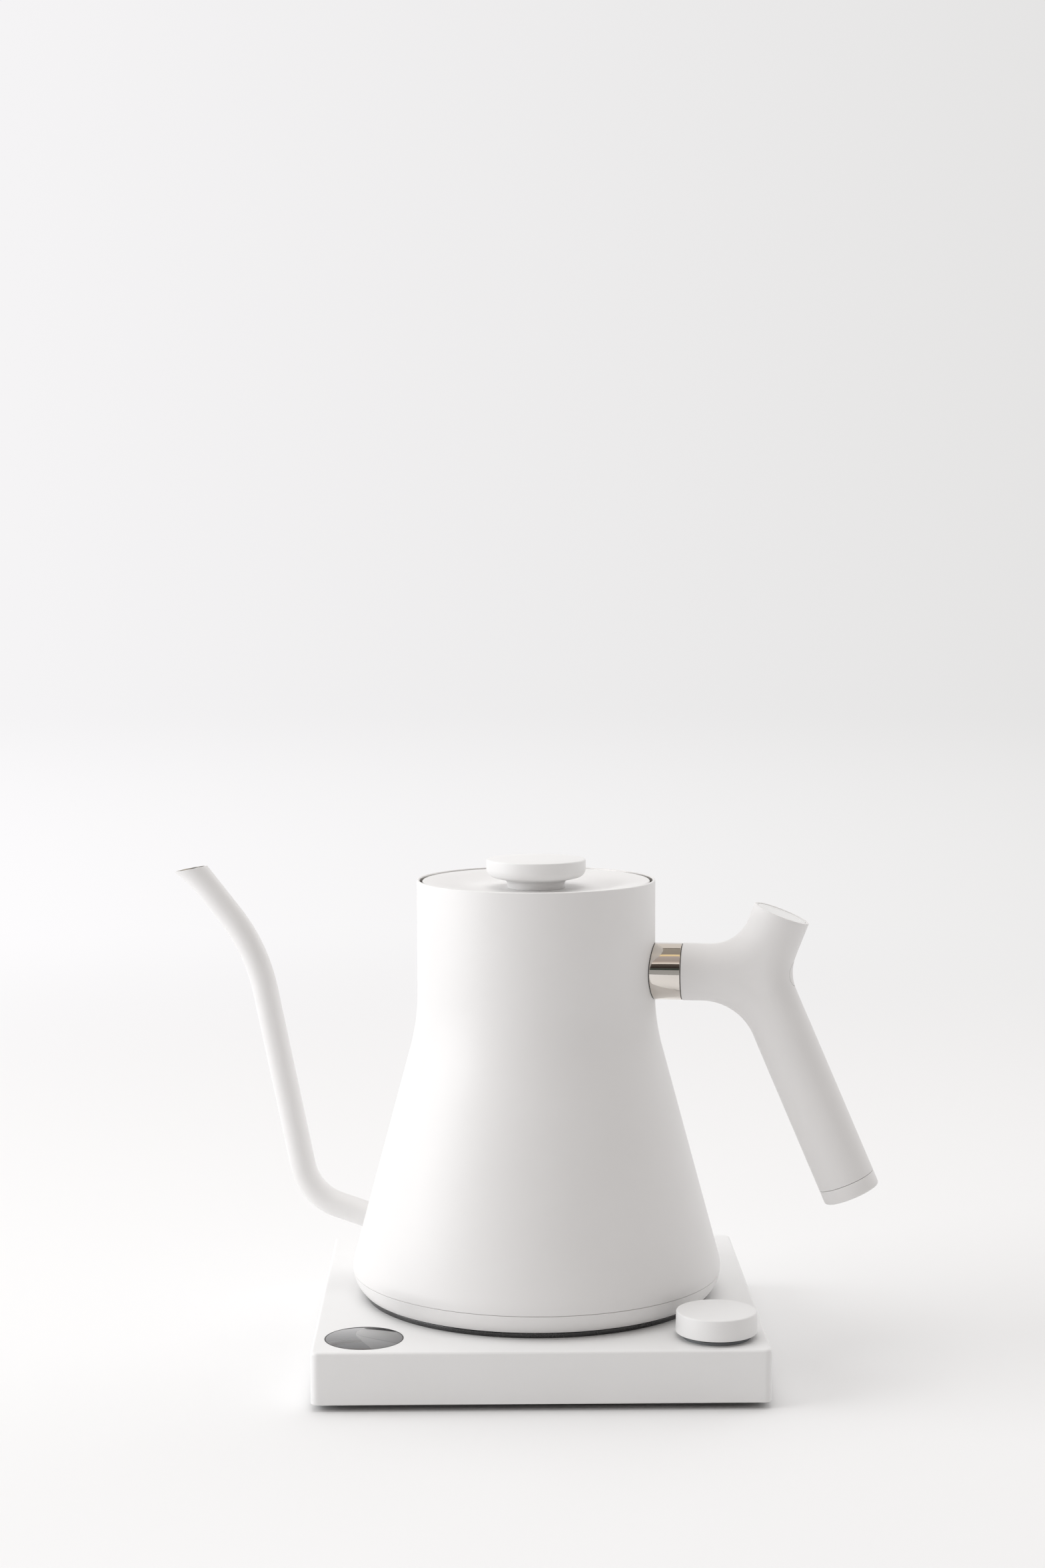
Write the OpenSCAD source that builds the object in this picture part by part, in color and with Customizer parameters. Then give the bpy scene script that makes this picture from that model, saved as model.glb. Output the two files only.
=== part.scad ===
// Gooseneck kettle on its heating base.
// Millimetres, +Z up. The origin is on the resting surface, under the middle of the base.
// The handle points to +X and the spout to -X before the kettle is swivelled on its base.

/* [Base] */
// Side of the square base
base_w = 171.5; // [160:0.5:185]
// Height of the white base casing
base_h = 19.9; // [18:0.1:24]
// Gap between the casing and the surface that it stands on
base_gap = 2.5; // [2:0.1:4]
// Wall of the casing
base_wall = 2.2; // [1.8:0.1:3]
// Radius of the upright corners
base_corner_r = 3; // [2.5:0.1:8]
// Radius of the top edge
base_edge_r = 1.2; // [0.6:0.1:2]
// Radius of the black seat under the kettle
seat_r = 68.65; // [60:0.05:75]

/* [Controls] */
// Distance of the dial and the display from the middle, across
control_x = 66.5; // [62:0.1:67]
// Distance of the dial and the display from the middle, to the front
control_y = 67; // [62:0.1:67.5]
// Radius of the dial at its top
dial_r = 15.2; // [12:0.1:15.4]
// Height of the dial
dial_h = 8; // [6:0.1:12]
// Travel of the dial when it is pressed
dial_travel = 0.5; // [0.3:0.1:0.6]
// Radius of the display glass
display_r = 14.6; // [12:0.1:15]

/* [Kettle body] */
// Angle of the handle from +X, seen from above
swivel = -10; // [-20:1:0]
// Radius of the neck
neck_r = 47.45; // [44:0.05:50]
// Half angle of the cone under the neck
cone_deg = 15.1; // [12:0.1:16]
// Height at which the lines of the neck and the cone meet
shoulder_z = 132.3; // [128:0.1:136]
// Radius of the curve between the neck and the cone
flare_r = 83; // [60:1:90]
// Widest radius of the body
body_r = 73.65; // [72:0.05:75]
// Radius of the lower corner
foot_curve_r = 12; // [10:0.5:14]
// Height of the rim
rim_z = 188.65; // [185:0.05:190]
// Height of the kettle's underside above the base
kettle_gap = 2.35; // [2.3:0.05:3]
// Wall of the body
shell_wall = 1.05; // [0.8:0.05:1.1]
// Height of the seam between the body and its bottom cap
seam_z = 32; // [31:0.1:33]

/* [Spout] */
// Outer radius of the spout tube
spout_r = 5.15; // [4.8:0.05:5.6]
// Inner radius of the spout tube
spout_bore_r = 4.25; // [4:0.05:4.4]
// Height of the spout's root
spout_root_z = 49.3; // [48:0.1:52]
// Direction in which the spout leaves the body, from the vertical
spout_root_deg = 72.9; // [70:0.1:75]
// Radius of the elbow
spout_elbow_r = 21.4; // [18:0.1:24]
// Direction of the long riser, from the vertical
spout_riser_deg = 11.9; // [10:0.1:14]
// Length of the long riser
spout_riser_l = 72.9; // [70:0.1:76]
// Radius of the upper bend
spout_bend_r = 71.8; // [65:0.1:75]
// Direction of the tip, from the vertical
spout_tip_deg = 39.1; // [36:0.1:42]

/* [Handle] */
// Radius of the handle's tubes
handle_r = 11.35; // [10:0.05:12]
// Height of the handle's stub
handle_z = 152.75; // [150:0.05:156]
// Distance from the kettle's axis to the fork of the handle
fork_s = 88.45; // [84:0.05:92]
// Lean of the thumb rest, from the vertical
thumb_deg = 21; // [15:0.5:25]
// Length of the thumb rest from the fork
thumb_l = 25.7; // [24:0.1:28]
// Lean of the grip, from the vertical
grip_deg = 23.3; // [20:0.1:27]
// Length of the grip from the fork, with its end cap
grip_l = 94.5; // [88:0.5:100]
// Length of the end cap
grip_cap_l = 5.8; // [5:0.1:8]
// Outer end of the steel ferrule, from the kettle's axis
ferrule_s = 58.8; // [56:0.1:60]

/* [Lid] */
// Radius of the lid
lid_r = 45.3; // [44:0.05:45.6]
// Radius of the lid's knob
knob_r = 19.8; // [16:0.1:24]
// Height of the knob's top
knob_top_z = 197.4; // [195:0.1:200]
// Radius of the knob's stem
knob_stem_r = 11.5; // [9:0.1:14]

/* [Hidden] */
$fn = 96;
tiny = 0.01;

// Base heights
base_top = base_gap + base_h;
deck_wall = 2.5;
deck_z = base_top - deck_wall;
plate_z = 3;
plate_t = 2;
plate_top = plate_z + plate_t;
plinth_w = base_w - 19.5;
pad_w = base_w - 25;
pad_t = 1.2;
screw_spots = [[-64, -38], [64, -38], [-64, 64], [64, 64]];
boss_r = 4;
pilot_r = 1.3;

// Round connector between the base and the kettle
post_r = 16;
post_top = base_top + 9;
pin_hole_r = 3.2;
ring_slot_in = 9.2;
ring_slot_out = 11.2;
coupler_r = 20.5;
coupler_top = base_top + 11.6;
seat_t = 1.95;

// Controls
dial_base = base_top + 2;
dial_top = dial_base + dial_h;
collar_h = dial_base - base_top - dial_travel - 0.3;
board_z = 11.4;
board_t = 1.6;
shaft_r = 3;
bushing_r = 3.5;
rear_y = base_w / 2;
cord_z = 11.5;
cord_bore_r = 3.2;
switch_x = 40;
switch_z = 12;

// Kettle body profile
cone_slope = tan(cone_deg);
flare_l = flare_r * tan(cone_deg / 2);
kettle_bottom = base_top + kettle_gap;
foot_c_r = body_r - foot_curve_r;
foot_t_r = foot_c_r + foot_curve_r * cos(cone_deg);
foot_t_z = shoulder_z - (foot_t_r - neck_r) / cone_slope;
foot_c_z = foot_t_z - foot_curve_r * sin(cone_deg);
seam_gap = 0.35;
cap_wall = 1.5;
floor_z = 40;
floor_t = 1;
spreader_t = 3;
element_ring_r = 48;
element_r = 3.5;
probe_x = -34;
stud_spots = [90, 210, 330];
stud_s = 62.8;

// Spout
spout_root_s = 66;
spout_stub_l = 16.4;
bend_overlap = 1.5;
bend_step = 0.03;
spout_lip_deg = 4;
spout_lip_l = 9;
spout_cut_s = 143.1;
spout_cut_z = 190.4;
spout_cut_deg = 11.1;

// Handle
under_fillet = 22;
thumb_fillet = 16;
back_fillet = 18;
stud_r = 3.5;
weight_r = 7;
weight_l = 42;

// Lid
lid_z = rim_z - 0.4;
lid_dish = 3;
lid_t = 1;

function cone_r(z) = neck_r + (shoulder_z - z) * cone_slope;
function arc(centre, r, from, to, steps) = [
    for (i = [0:steps]) centre + r * [cos(from + (to - from) * i / steps),
                                      sin(from + (to - from) * i / steps)]
];

// A square plate with round corners
module rounded_plate(w, r, h) {
    linear_extrude(h) union() {
        square([w - 2 * r, w], center = true);
        square([w, w - 2 * r], center = true);
        for (x = [-1, 1], y = [-1, 1]) translate([x, y] * (w / 2 - r)) circle(r);
    }
}

// A square plate with round corners and a round top edge
module soft_plate(w, r, edge, h) {
    rounded_plate(w, r, h - edge);
    rounded_plate(w - 2 * edge, r - edge, h);
    for (turn = [0:90:270]) rotate([0, 0, turn]) {
        translate([w / 2 - edge, 0, h - edge]) rotate([90, 0, 0])
            cylinder(h = w - 2 * r, r = edge, center = true);
        translate([w / 2 - r, w / 2 - r, h - edge]) rotate_extrude()
            translate([r - edge, 0]) circle(edge);
    }
}

// A straight tube along +Z
module tube(r_out, r_in, h) {
    difference() {
        cylinder(h = h, r = r_out);
        translate([0, 0, -1]) cylinder(h = h + 2, r = r_in);
    }
}

// A screw along +Z whose pan head, with a hexagonal socket, hangs below the start
module pan_screw(shaft, head, head_h, l) {
    cylinder(h = l, r = shaft);
    translate([0, 0, -head_h]) difference() {
        cylinder(h = head_h, r = head);
        translate([0, 0, -tiny]) cylinder(h = head_h / 2, r = head / 2, $fn = 6);
    }
}

module at_dial() { translate([control_x, -control_y, 0]) children(); }
module at_display() { translate([-control_x, -control_y, 0]) children(); }
module on_kettle() { rotate([0, 0, swivel]) children(); }

/* Base */

module base_housing() {
    color("white") difference() {
        translate([0, 0, base_gap]) soft_plate(base_w, base_corner_r, base_edge_r, base_h);
        difference() {
            translate([0, 0, base_gap - 1])
                rounded_plate(base_w - 2 * base_wall, 1, deck_z - base_gap + 1);
            for (p = screw_spots) translate([p[0], p[1], plate_top])
                cylinder(h = base_h, r = boss_r);
        }
        for (p = screw_spots) translate([p[0], p[1], 0])
            cylinder(h = deck_z - 2, r = pilot_r);
        cylinder(h = base_top + 1, r = post_r + 0.2);
        at_dial() cylinder(h = base_top + 1, r = bushing_r + 0.2);
        at_display() {
            cylinder(h = base_top + 1, r = display_r - 1.8);
            translate([0, 0, base_top - 1.2]) cylinder(h = 2, r = display_r + 1);
        }
        translate([0, rear_y - 5, cord_z]) rotate([-90, 0, 0]) cylinder(h = 10, r = 5);
        translate([switch_x, rear_y, switch_z]) cube([14, 10, 5], center = true);
        translate([-switch_x, rear_y - 5, switch_z]) rotate([-90, 0, 0]) cylinder(h = 10, r = 3.6);
    }
}

module base_bottom_plate() {
    color("#202224") difference() {
        union() {
            translate([0, 0, plate_z])
                rounded_plate(base_w - 2 * base_wall - 0.8, 1, plate_t);
            translate([0, 0, pad_t]) rounded_plate(plinth_w, 4, plate_z - pad_t);
        }
        for (p = screw_spots) translate([p[0], p[1], 0]) {
            cylinder(h = 10, r = 1.6);
            cylinder(h = plate_z, r = 3.6);
        }
    }
}

module foot_pad() {
    color("#303133") difference() {
        rounded_plate(pad_w, 4, pad_t);
        for (p = screw_spots) translate([p[0], p[1], -1]) cylinder(h = 4, r = 4);
    }
}

module base_screws() {
    color("silver") for (p = screw_spots)
        translate([p[0], p[1], plate_z]) pan_screw(1.2, 3, 1.6, 10);
}

module seat_disc() {
    color("#101114") translate([0, 0, base_top]) tube(seat_r, post_r + 0.3, seat_t);
}

module base_socket() {
    color("#1b1c1e") difference() {
        union() {
            translate([0, 0, deck_z - 3]) cylinder(h = 3, r = 26);
            socket_post();
        }
        translate([0, 0, deck_z]) cylinder(h = 20, r = pin_hole_r);
        translate([0, 0, deck_z + 1]) tube(ring_slot_out, ring_slot_in, 20);
        translate([0, 0, deck_z - 7]) cylinder(h = 5, r = 6);
    }
}

// The round post that plugs into the kettle
module socket_post() {
    translate([0, 0, deck_z - 6]) cylinder(h = post_top - deck_z + 5, r = post_r - 0.05);
    translate([0, 0, post_top - 1]) cylinder(h = 1, r1 = post_r - 0.05, r2 = post_r - 1.05);
}

module socket_contacts() {
    color("#c79a4b") {
        translate([0, 0, deck_z + 0.1]) tube(pin_hole_r - 0.05, pin_hole_r - 0.45, 6);
        translate([0, 0, deck_z + 1.1]) tube(ring_slot_in + 0.4, ring_slot_in + 0.05, 6);
        for (a = [60, 180, 300]) rotate([0, 0, a])
            translate([12, -1.5, deck_z - 10]) cube([1, 3, 3.9]);
    }
}

module display_window() {
    color("#17181c") at_display() translate([0, 0, base_top - 1.2])
        cylinder(h = 1.3, r = display_r - 0.05);
}

module display_bezel() {
    color("#2a2b2e") at_display() translate([0, 0, base_top - 1.2])
        tube(display_r + 0.95, display_r, 1.6);
}

module display_module() {
    color("#3a3d40") at_display() translate([0, 0, board_z + board_t])
        translate([-10.5, -9, 0]) cube([21, 18, deck_z - board_z - board_t - 0.1]);
}

module control_board() {
    color("#2f6b45") difference() {
        translate([-81, -81, board_z]) cube([162, 32, board_t]);
        translate([0, -65, 0]) cylinder(h = 30, r = 3);
    }
    color("#202224") for (x = [-34, -12, 20]) translate([x, -72, board_z + board_t])
        cube([10, 10, 1.8]);
    color("silver") translate([6, -60, board_z + board_t]) cylinder(h = 5, r = 3);
}

module power_board() {
    color("#2f6b45") translate([-80, -30, 8]) cube([50, 86, board_t]);
    color("#d8d8d2") for (x = [-76, -34], y = [-26, 52])
        translate([x, y, plate_top]) cylinder(h = 3, r = 2);
}

module power_components() {
    t = 8 + board_t;
    color("#3b4a8c") translate([-76, 20, t]) cube([20, 16, 9.5]);
    color("#b89a3c") translate([-52, -22, t]) cube([18, 20, 9]);
    color("#22262c") for (y = [8, 22]) translate([-40, y, t]) cylinder(h = 9.5, r = 5);
    color("#7a1f1f") translate([-76, -20, t]) cube([8, 22, 8]);
    color("#dcdcd6") translate([-50, 40, t]) cube([14, 10, 8]);
}

module rear_board() {
    y = rear_y - base_wall - 8;
    color("#2f6b45") translate([-50, y - board_t, 6.5]) difference() {
        cube([100, board_t, 12]);
        translate([50, -1, cord_z - 6.5]) rotate([-90, 0, 0]) cylinder(h = 6, r = 7);
    }
    color("#202224") {
        translate([switch_x - 6, y, switch_z - 3]) cube([12, 3.2, 6]);
        translate([-switch_x - 3, y, switch_z - 3]) cube([6, 3.5, 6]);
    }
}

module encoder_body() {
    color("#8d9094") at_dial() difference() {
        union() {
            translate([-6.5, -6.5, board_z + board_t]) cube([13, 13, 6]);
            translate([0, 0, board_z + board_t]) cylinder(h = dial_base - board_z - 1.7, r = bushing_r);
        }
        translate([0, 0, board_z + board_t + 2]) cylinder(h = 30, r = shaft_r + 0.05);
    }
}

module encoder_nut() {
    color("silver") at_dial() translate([0, 0, base_top]) difference() {
        cylinder(h = 1.1, r = 5.6, $fn = 6);
        translate([0, 0, -1]) cylinder(h = 4, r = bushing_r + 0.03);
    }
}

module dial_collar() {
    color("#1b1c1e") at_dial() translate([0, 0, base_top]) tube(13, 6.2, collar_h);
}

module cord_grommet() {
    color("#202224") translate([0, rear_y, cord_z]) rotate([-90, 0, 0]) difference() {
        union() {
            translate([0, 0, -base_wall]) cylinder(h = base_wall, r = 4.95);
            cylinder(h = 1.2, r = 6.4);
            translate([0, 0, -base_wall - 3.4]) cylinder(h = 3.4, r = 6.4);
        }
        translate([0, 0, -10]) cylinder(h = 20, r = cord_bore_r);
    }
}

module cord_clamp() {
    color("#303133") difference() {
        translate([-11, 60, plate_top]) cube([22, 7, 11]);
        translate([0, 50, cord_z]) rotate([-90, 0, 0]) cylinder(h = 30, r = cord_bore_r);
        for (x = [-8, 8]) translate([x, 63.5, 0]) cylinder(h = 30, r = 1.5);
    }
    color("silver") for (x = [-8, 8]) translate([x, 63.5, plate_top + 11])
        mirror([0, 0, 1]) pan_screw(1.45, 2.6, 1.6, 9);
}

module hold_switch() {
    color("#e9e9e6") translate([switch_x, rear_y, switch_z]) {
        translate([-3, -3.4, -2.2]) cube([6, 4.2, 4.4]);
        translate([-5, -base_wall - 2, -2.2]) cube([10, 1.6, 4.4]);
    }
}

module units_button() {
    color("#e9e9e6") translate([-switch_x, rear_y, switch_z]) rotate([-90, 0, 0]) {
        translate([0, 0, -3.3]) cylinder(h = 4.1, r = 3.3);
        translate([0, 0, -3.7]) cylinder(h = 0.7, r = 4.2);
    }
}

/* Dial */

module encoder_shaft() {
    color("#b8babd") at_dial() translate([0, 0, board_z + board_t + 2.8])
        cylinder(h = dial_top - 3 - board_z - board_t - 2.8, r = shaft_r);
}

module dial_knob() {
    flare = 0.3;
    edge = 0.6;
    color("#f2f2f0") at_dial() translate([0, 0, dial_base]) difference() {
        union() {
            cylinder(h = dial_h - edge, r1 = dial_r + flare, r2 = dial_r);
            translate([0, 0, dial_h - edge - tiny]) cylinder(h = edge + tiny, r = dial_r - edge);
            translate([0, 0, dial_h - edge]) rotate_extrude()
                translate([dial_r - edge, 0]) circle(edge);
        }
        translate([0, 0, -1]) tube(dial_r - 1.6, 6, dial_h - 1);
        translate([0, 0, -1]) cylinder(h = dial_h - 1, r = 4.6);
    }
}

module dial_insert() {
    color("#3a3c40") at_dial() translate([0, 0, dial_base + 0.6])
        tube(4.58, shaft_r + 0.05, dial_h - 2.7);
}

/* Coupler */

module kettle_coupler() {
    color("#1b1c1e") difference() {
        translate([0, 0, kettle_bottom + 0.3])
            cylinder(h = coupler_top - kettle_bottom - 0.3, r = coupler_r);
        cylinder(h = post_top + 0.6, r = post_r + 0.7);
        cylinder(h = coupler_top - 1, r = 2.65);
        tube(10.75, 9.95, coupler_top - 1);
    }
}

module coupler_contacts() {
    color("#c79a4b") {
        translate([0, 0, base_top + 3.4]) cylinder(h = coupler_top - base_top - 4.5, r = 2.6);
        translate([0, 0, base_top + 3.4]) tube(10.7, 10, coupler_top - base_top - 4.5);
    }
}

/* Kettle body */

// Half section of the body's outside, grown inwards by inset
module body_section(inset, z_low) {
    steps = 12;
    foot_r = foot_curve_r - inset;
    foot = z_low > foot_t_z
        ? [[cone_r(z_low) - inset / cos(cone_deg), z_low]]
        : arc([foot_c_r, foot_c_z], foot_r, cone_deg, asin((z_low - foot_c_z) / foot_r), steps);
    polygon(concat(
        [[0, z_low], [0, rim_z + 5], [neck_r - inset, rim_z + 5]],
        arc([neck_r + flare_r, shoulder_z + flare_l], flare_r + inset, 180, 180 + cone_deg, steps),
        foot
    ));
}

// The solid within the body's outside, between two heights
module body_solid(inset, z_low, z_high) {
    intersection() {
        rotate_extrude() body_section(inset, z_low);
        cylinder(h = z_high, r = 100);
    }
}

module kettle_shell() {
    color("white") on_kettle() difference() {
        body_solid(0, seam_z + seam_gap / 2, rim_z);
        body_solid(shell_wall, seam_z - 1, rim_z + 2);
        spout_root() cylinder(h = spout_stub_l, r = spout_bore_r, center = true);
    }
}

module kettle_floor() {
    color("#b9bbbd") on_kettle() difference() {
        body_solid(shell_wall + 0.05, floor_z, floor_z + floor_t);
        translate([probe_x, 0, 0]) cylinder(h = 100, r = 2.6);
    }
}

module heat_spreader() {
    color("#c9ccce") on_kettle() difference() {
        translate([0, 0, floor_z - spreader_t]) cylinder(h = spreader_t, r = 58);
        translate([probe_x, 0, 0]) cylinder(h = 100, r = 2.6);
    }
}

module heating_element() {
    z = floor_z - spreader_t - element_r;
    color("#6f7276") on_kettle() translate([0, 0, z]) {
        rotate([0, 0, 110]) rotate_extrude(angle = 320)
            translate([element_ring_r, 0]) circle(element_r);
    }
}

module element_leads() {
    color("#c9442f") on_kettle() for (a = [106, 74])
        rotate([0, 0, a]) translate([13.2, 0, floor_z - spreader_t - 1.4])
            rotate([0, 90, 0]) cylinder(h = element_ring_r - 13, r = 1);
}

module thermostat() {
    color("#dad7cd") on_kettle() translate([0, 0, floor_z - spreader_t - 2.6])
        cylinder(h = 2.6, r = 13);
}

module temperature_probe() {
    color("#c4c6c8") on_kettle() translate([probe_x, 0, 34]) {
        cylinder(h = 15, r = 2.5);
        translate([0, 0, 15]) sphere(2.5);
    }
}

module probe_seal() {
    color("#8a3b2c") on_kettle() translate([probe_x, 0, floor_z + floor_t]) tube(5, 2.55, 1.6);
}

module floor_studs() {
    color("#a8aaac") on_kettle() for (a = stud_spots) rotate([0, 0, a])
        translate([stud_s, 0, kettle_bottom + cap_wall]) difference() {
            cylinder(h = floor_z - kettle_bottom - cap_wall, r = 2.6);
            translate([0, 0, -1]) cylinder(h = 9, r = pilot_r);
        }
}

module bottom_cap() {
    lip_out = body_r - shell_wall - 0.75;
    color("white") on_kettle() difference() {
        union() {
            body_solid(0, kettle_bottom, seam_z - seam_gap / 2);
            cylinder(h = seam_z + 2, r = lip_out);
        }
        body_solid(cap_wall + 0.6, kettle_bottom + cap_wall, seam_z + 3);
        cylinder(h = 100, r = coupler_r + 0.5);
        translate([0, 0, -1]) cylinder(h = kettle_bottom + 1, r = 90);
        for (a = stud_spots) rotate([0, 0, a]) translate([stud_s, 0, 0]) {
            cylinder(h = 100, r = 1.6);
            cylinder(h = kettle_bottom + 0.7, r = 3);
        }
    }
}

module cap_screws() {
    color("silver") on_kettle() for (a = stud_spots) rotate([0, 0, a])
        translate([stud_s, 0, kettle_bottom + 0.7]) pan_screw(1.2, 2.5, 0.6, 7);
}

/* Spout */

module spout_root() {
    translate([-spout_root_s, 0, spout_root_z]) rotate([0, -spout_root_deg, 0]) children();
}

// A length of straight tube along +Z, with what follows it
module run(l, r) {
    cylinder(h = l, r = r);
    translate([0, 0, l]) children();
}

// A bend from +Z towards +X, or towards -X when turn is negative, with what follows it.
// It is a hair thinner than the straight tubes and runs a little way into both.
module bend(radius, turn, r) {
    side = sign(turn);
    sweep = abs(turn);
    translate([side * radius, 0, 0]) rotate([90, 0, 0])
        rotate([0, 0, (side > 0 ? 180 - sweep : 0) - bend_overlap])
            rotate_extrude(angle = sweep + 2 * bend_overlap)
                translate([radius, 0]) circle(r - bend_step);
    translate([side * radius * (1 - cos(sweep)), 0, radius * sin(sweep)])
        rotate([0, turn, 0]) children();
}

// The flared lip, whose inner side carries straight on from the tube
module spout_lip(r) {
    l = 2 * spout_lip_l;
    translate([0, 0, -0.5]) rotate([0, -spout_lip_deg, 0])
        cylinder(h = l, r1 = r - 0.12, r2 = r + l * tan(spout_lip_deg));
}

module spout_line(r) {
    spout_root() run(spout_stub_l, r)
        bend(spout_elbow_r, spout_root_deg - spout_riser_deg, r)
            run(spout_riser_l, r)
                bend(spout_bend_r, spout_riser_deg - spout_tip_deg, r)
                    run(14, r) spout_lip(r);
}

module spout_tube() {
    color("white") on_kettle() difference() {
        spout_line(spout_r);
        spout_line(spout_bore_r);
        body_solid(0, seam_z, rim_z);
        translate([-spout_cut_s, 0, spout_cut_z]) rotate([0, -spout_cut_deg, 0])
            translate([-40, -40, 0]) cube([80, 80, 60]);
    }
}

/* Handle */

module at_fork() { translate([fork_s, 0, handle_z]) children(); }
module along_thumb() { at_fork() rotate([0, thumb_deg, 0]) children(); }
module along_grip() { at_fork() rotate([0, 180 - grip_deg, 0]) children(); }

// A bent tube between two directions that leave the fork, rounding their inner corner.
// The directions are angles in the handle's plane, counted from +X towards +Z.
module fork_bend(from_deg, to_deg, fillet) {
    half = (to_deg - from_deg) / 2;
    radius = fillet + handle_r;
    reach = radius / sin(half);
    sweep = 180 - 2 * half;
    at_fork() rotate([90, 0, 0]) rotate([0, 0, from_deg + half]) translate([reach, 0, 0])
        rotate([0, 0, 180 - sweep / 2]) rotate_extrude(angle = sweep)
            translate([radius, 0]) circle(handle_r - 0.05);
}

module handle_body() {
    body_l = grip_l - grip_cap_l - 0.15;
    color("#efefed") on_kettle() difference() {
        union() {
            translate([ferrule_s, 0, handle_z]) rotate([0, 90, 0])
                cylinder(h = fork_s - ferrule_s, r = handle_r);
            along_thumb() cylinder(h = thumb_l, r = handle_r);
            along_grip() cylinder(h = body_l, r = handle_r);
            fork_bend(180, 270 + grip_deg, under_fillet);
            fork_bend(90 - thumb_deg, 180, thumb_fillet);
            fork_bend(grip_deg - 90, 90 - thumb_deg, back_fillet);
        }
        translate([ferrule_s - 1, 0, handle_z]) rotate([0, 90, 0])
            cylinder(h = fork_s - ferrule_s + 6, r = stud_r + 0.1);
        along_thumb() {
            translate([0, 0, 2]) cylinder(h = thumb_l, r = 2.6);
            translate([0, 0, thumb_l - 6]) cylinder(h = 10, r = 5);
            translate([0, 0, thumb_l - 1]) cylinder(h = 10, r = 9.1);
        }
        along_grip() translate([0, 0, body_l - weight_l - 2])
            cylinder(h = weight_l + 5, r = weight_r + 0.2);
    }
}

module handle_ferrule() {
    color("#d0ccc6") on_kettle() difference() {
        translate([neck_r - 5, 0, handle_z]) rotate([0, 90, 0])
            tube(handle_r - 0.1, handle_r - 1.3, ferrule_s - neck_r + 5 - 0.02);
        translate([0, 0, 100]) cylinder(h = 100, r = neck_r + 0.02);
    }
}

module handle_stud() {
    color("#a8aaac") on_kettle() difference() {
        translate([neck_r - 5, 0, handle_z]) rotate([0, 90, 0])
            cylinder(h = fork_s - neck_r + 9, r = stud_r);
        translate([0, 0, 100]) cylinder(h = 100, r = neck_r + 0.02);
        along_thumb() translate([0, 0, -2]) cylinder(h = 12, r = 2.1);
    }
}

module handle_bolt() {
    color("silver") on_kettle() along_thumb() translate([0, 0, thumb_l - 6])
        mirror([0, 0, 1]) pan_screw(2, 4.5, 3.5, thumb_l - 7);
}

module handle_top_disc() {
    color("#e4e4e2") on_kettle() along_thumb() translate([0, 0, thumb_l - 1])
        cylinder(h = 0.85, r = 9);
}

module handle_end_cap() {
    edge = 1;
    color("#efefed") on_kettle() along_grip() translate([0, 0, grip_l - grip_cap_l]) difference() {
        union() {
            cylinder(h = grip_cap_l - edge, r = handle_r);
            cylinder(h = grip_cap_l, r = handle_r - edge);
            translate([0, 0, grip_cap_l - edge]) rotate_extrude()
                translate([handle_r - edge, 0]) circle(edge);
        }
        translate([0, 0, -1]) cylinder(h = 10, r = 1.7);
        translate([0, 0, grip_cap_l - 2]) cylinder(h = 5, r = 3.3);
    }
}

module counterweight() {
    color("#8d9094") on_kettle() along_grip() difference() {
        translate([0, 0, grip_l - grip_cap_l - weight_l - 0.2]) cylinder(h = weight_l, r = weight_r);
        translate([0, 0, grip_l - grip_cap_l - 12]) cylinder(h = 20, r = 1.6);
    }
}

module end_cap_screw() {
    color("silver") on_kettle() along_grip() translate([0, 0, grip_l - 2])
        mirror([0, 0, 1]) pan_screw(1.5, 3, 1.5, 12);
}

/* Lid */

// Half section of the dished lid, from z_low to its own top
module lid_section(t) {
    polygon([
        [3, lid_z - lid_dish], [30, lid_z - lid_dish], [39, lid_z - 0.6], [42, lid_z],
        [lid_r, lid_z], [lid_r, lid_z - 4], [lid_r - 1, lid_z - 4], [lid_r - 1, lid_z - t],
        [42, lid_z - t], [39, lid_z - 0.6 - t], [30, lid_z - lid_dish - t],
        [3, lid_z - lid_dish - t]
    ]);
}

module lid_disc() {
    color("white") on_kettle() rotate_extrude() lid_section(lid_t);
}

module lid_underplate() {
    top = lid_z - lid_dish - lid_t - 0.05;
    color("#b9bbbd") on_kettle() rotate_extrude() {
        translate([3, top - 6]) square([40, 1]);
        translate([42, top - 6]) square([1, 5]);
        translate([3, top - 6]) square([6, 6]);
    }
}

module lid_seal() {
    color("#3a3a3c") on_kettle() translate([0, 0, lid_z - 9.5]) {
        tube(45.9, 43.05, 1.6);
        translate([0, 0, 3]) tube(45.9, 43.05, 1.6);
    }
}

module lid_knob() {
    stem_base = lid_z - lid_dish;
    side_h = 4.7;
    under = 4.3;
    fillet = (knob_r - knob_stem_r) / 2;
    edge = 0.5;
    side_z = knob_top_z - side_h;
    color("white") on_kettle() difference() {
        rotate_extrude() {
            translate([0, stem_base + 0.02]) square([knob_stem_r, side_z - stem_base]);
            translate([0, side_z]) square([knob_r - edge, side_h]);
            translate([0, side_z]) square([knob_r, side_h - edge]);
            translate([knob_r - edge, knob_top_z - edge]) circle(edge);
            translate([0, side_z - fillet]) square([knob_r - fillet, fillet + 1]);
            intersection() {
                translate([knob_r - fillet, side_z]) circle(fillet);
                translate([0, side_z - under]) square([knob_r, under + 0.01]);
            }
        }
        translate([0, 0, stem_base - 1]) cylinder(h = 8, r = 2.1);
    }
}

module lid_screw() {
    top = lid_z - lid_dish - lid_t - 6.05;
    color("silver") on_kettle() translate([0, 0, top]) pan_screw(2, 4, 2, 12);
}

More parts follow.
